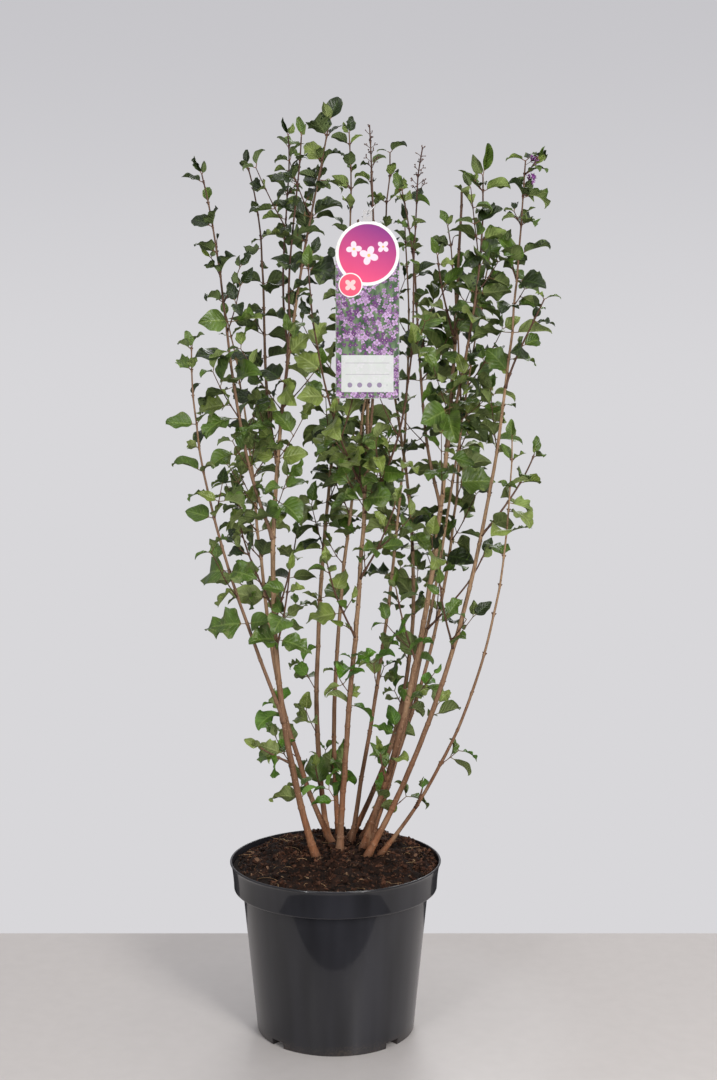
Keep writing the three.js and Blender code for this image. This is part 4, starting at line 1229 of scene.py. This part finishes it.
def strewn(paint, right, up, cell, seed, ground):
    """Florets strewn over a ground, one in each cell of a random net, each with its own turn and tint."""
    place = paint.node("CombineXYZ", right / cell + seed, up / cell, 0.0)
    named = {"Vector": place, "Scale": 1.0, "Randomness": 0.85}
    middle, tint = (
        paint.node("TexVoronoi", named=named, output=output, voronoi_dimensions="2D")
        for output in ("Position", "Color")
    )
    tint = paint.axes(tint)
    x, y, _ = paint.axes(paint.node("VectorMath", place, middle, operation="SUBTRACT"))
    shape, far = floret(x, y, 0.52, tint[0] * 3.1), distance(x, y)
    petal = paint.blend(tint[1].step(0.1, 0.9), (104, 54, 114), (206, 170, 214))
    petal = paint.blend(far.step(0.3, 0.02) * 0.75, petal, (82, 34, 96))
    petal = paint.blend(far.step(0.07, 0.04), petal, (222, 200, 190))
    cluster = paint.noise(place, 0.23, 2)
    return paint.blend(shape * (cluster + tint[2] * 0.2).step(0.52, 0.56), ground, petal)


def tag_paint():
    """The card's face, in its own plane in millimetres: right is along the card, up is above the eyelet.
    The round head has a white border, a gradient and three pale florets in a row, a grey tab above it,
    and a small disc with one floret over its lower left edge. Below lie many florets over leafy green,
    and a plain pale panel with two rules and a row of dots. The back is plain pale green."""
    paint = Paint("tag_print", Coat_Weight=0.3, Coat_Roughness=0.2)
    centre = (tag_low + tag_high) / 2
    turn = radians(TAG.turn)
    x, y, z = paint.axes(paint.place())
    dx, dy = (x - centre[0]) * 1000, (y - centre[1]) * 1000
    right = dx * cos(turn) + dy * sin(turn)
    through = dy * cos(turn) - dx * sin(turn)
    up = (z - (tag_high[2] - TAG.eyelet_below_top * MM)) * 1000
    head_up, below = up + TAG.head, up + TAG.foot
    beside = abs(right)

    leafy = paint.noise(paint.stretched(paint.place(), (110, 110, 60)), 1, 3)
    body = paint.blend(leafy.step(0.35, 0.68), (50, 76, 50), (112, 136, 98))
    body = strewn(paint, right, below, 7.4, 3.1, body)
    body = strewn(paint, right, below, 10, 7.7, body)
    spacing = ((right + 200) / 14).math("FRACT") * 14 - 7
    layers = [
        # share, colour: the panel, its rules, its dots and the card's edge
        (abs(below - 35).step(26.2, 25.8) * beside.step(37.2, 36.8) * (leafy * 0.12 + 0.84), (216, 219, 216)),
        (abs(abs(below - 42) - 8).step(0.6, 0.3) * beside.step(31.2, 31) * 0.5, (136, 122, 144)),
        (distance(spacing, below - 19).step(3.7, 3.4) * beside.step(28.2, 28) * 0.8, (124, 96, 140)),
        (beside.step(44.1, 44.5).math("MAXIMUM", below.step(0.9, 0.5)) * 0.7, (176, 190, 172)),
    ]
    for share, colour in layers:
        body = paint.blend(share, body, colour)

    from_head = distance(right, head_up)
    head = paint.blend((head_up + right * 0.4) / 80 + 0.5, (238, 80, 128), (142, 48, 130))
    for place, size in (((-19, 6), 11), ((2, -3), 13.5), ((22, 9), 9)):
        bloom = floret(right - place[0], head_up - place[1], size, 0.3 + place[0] * 0.02)
        head = paint.blend(bloom * 0.9, head, (252, 232, 242))
        head = paint.blend(disc(right, head_up, place, size * 0.17), head, (232, 190, 110))
    white, badge = (246, 245, 242), (-24, -44)
    head = paint.blend(from_head.step(40.2, 40.8), head, white)
    face = paint.blend(from_head.step(45.2, 44.8), body, head)
    face = paint.blend(disc(right, head_up, badge, 17), face, white)
    face = paint.blend(disc(right, head_up, badge, 15.4), face, (246, 88, 120))
    bloom = floret(right - badge[0], head_up - badge[1], 9, 0.78)
    face = paint.blend(bloom * 0.85, face, (255, 222, 220))
    face = paint.blend(up.step(-10, -9.4), face, (190, 188, 188))
    fleck = paint.noise(paint.place(), 90, 2)
    colour = paint.blend(through.step(0.1, -0.1), (214, 222, 200), face)
    return paint.done(colour, fleck * 0.14 + 0.3, fleck, 0.05, 0.6)


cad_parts["tag"].data.materials.clear()
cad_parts["tag"].data.materials.append(tag_paint())


def strap_shape():
    """A closed tube along a circle that leans through the tag's eyelet."""
    lean = radians(STRAP.lean)
    first = np.array([cos(lean), 0, sin(lean)])
    out = hoops(first, BACK, 56)
    thick = STRAP.thickness / 2 * MM
    rounds = hoops(out * thick, np.cross(BACK, first) * thick, 12)
    centres = (np.array(STRAP.centre) + out * STRAP.radius) * MM
    return loft((centres[:, None] + rounds)[None], closed=True)


Heap().add(strap_shape()).piece("tag_strap", "tag_tie", [strap_paint], ["tag_tie"])

# ---- floor, light and camera

floor_mesh = bpy.data.meshes.new("floor")
floor_mesh.from_pydata([(-1.1, -0.35, 0), (1.1, -0.35, 0), (1.1, 0.4, 0), (-1.1, 0.4, 0)], [], [(0, 1, 2, 3)])
# The floor shines near the pot, and is dull further off.
paint = Paint("floor", Specular_IOR_Level=0.4)
fleck = paint.noise(paint.place(), 40)
x, y, _ = paint.axes(paint.place())
rough = distance(x, y).step(0.27, 0.5) * 0.5 + fleck * 0.06 + 0.36
floor_mesh.materials.append(paint.done(paint.blend(fleck, (199, 194, 191), (207, 202, 199)), rough))
floor = placed("floor", floor_mesh)

# The wall is what the camera sees behind the plant, and the sky is what lights it.
world = bpy.data.worlds.new("studio")
scene.world = world
world.use_nodes = True
studio = Nodes(world.node_tree)
rise = studio.axes(studio.node("TexCoord", output="Generated"))[2]
sky_colour = studio.blend(rise.step(-0.08, 0.04), (70, 70, 74), (220, 219, 224))
sky = studio.node("Background", sky_colour, 0.56)
# Painted shade on the wall: darker higher up, where less light falls on it.
wall_colour = studio.blend(rise.step(-0.04, 0.24), (216, 215, 218), (198, 197, 201))
wall = studio.node("Background", wall_colour, 1)
seen = studio.node("LightPath", output="Is Camera Ray")
both = studio.node("MixShader", seen, sky, wall)
studio.tree.links.new(both.socket, studio.tree.nodes["World Output"].inputs["Surface"])

LIGHTS = [
    # name, place, aimed at, width, height, watts, colour
    ("key", (1.3, -2.3, 1.75), (0, 0, 0.7), 0.8, 1.3, 47, (1, 0.98, 0.95)),
    ("fill", (-1.35, -2.3, 1.6), (0, 0, 0.65), 0.9, 1.3, 12.5, (0.97, 0.98, 1)),
    ("top", (0.2, 0.1, 3.2), (0, 0, 0.9), 1.6, 1.4, 11, (1, 1, 1)),
    ("back", (0.3, 2.3, 2.2), (0, 0, 0.8), 1.2, 1.2, 23, (1, 1, 1)),
    ("strip_right", (1.15, -2.1, 0.45), (0, 0, 0.3), 0.12, 0.85, 13, (1, 1, 1)),
    ("strip_left", (-1.15, -2.1, 0.45), (0, 0, 0.3), 0.12, 0.85, 11, (1, 1, 1)),
]
for name, place, target, width, height, watts, colour in LIGHTS:
    lamp = bpy.data.lights.new(name, "AREA")
    lamp.shape, lamp.size, lamp.size_y = "RECTANGLE", width, height
    lamp.energy, lamp.color = watts, colour
    light = placed(name, lamp)
    light.location = place
    light.rotation_euler = (Vector(target) - Vector(place)).to_track_quat("-Z", "Y").to_euler()

camera = placed("camera", bpy.data.cameras.new("camera"))
camera.location = (0.0349, -2.40, 1.008)
camera.rotation_euler = (radians(90 - 6.16), 0, 0)
camera.data.lens = 54.03
scene.camera = camera
scene.view_settings.view_transform = "Standard"
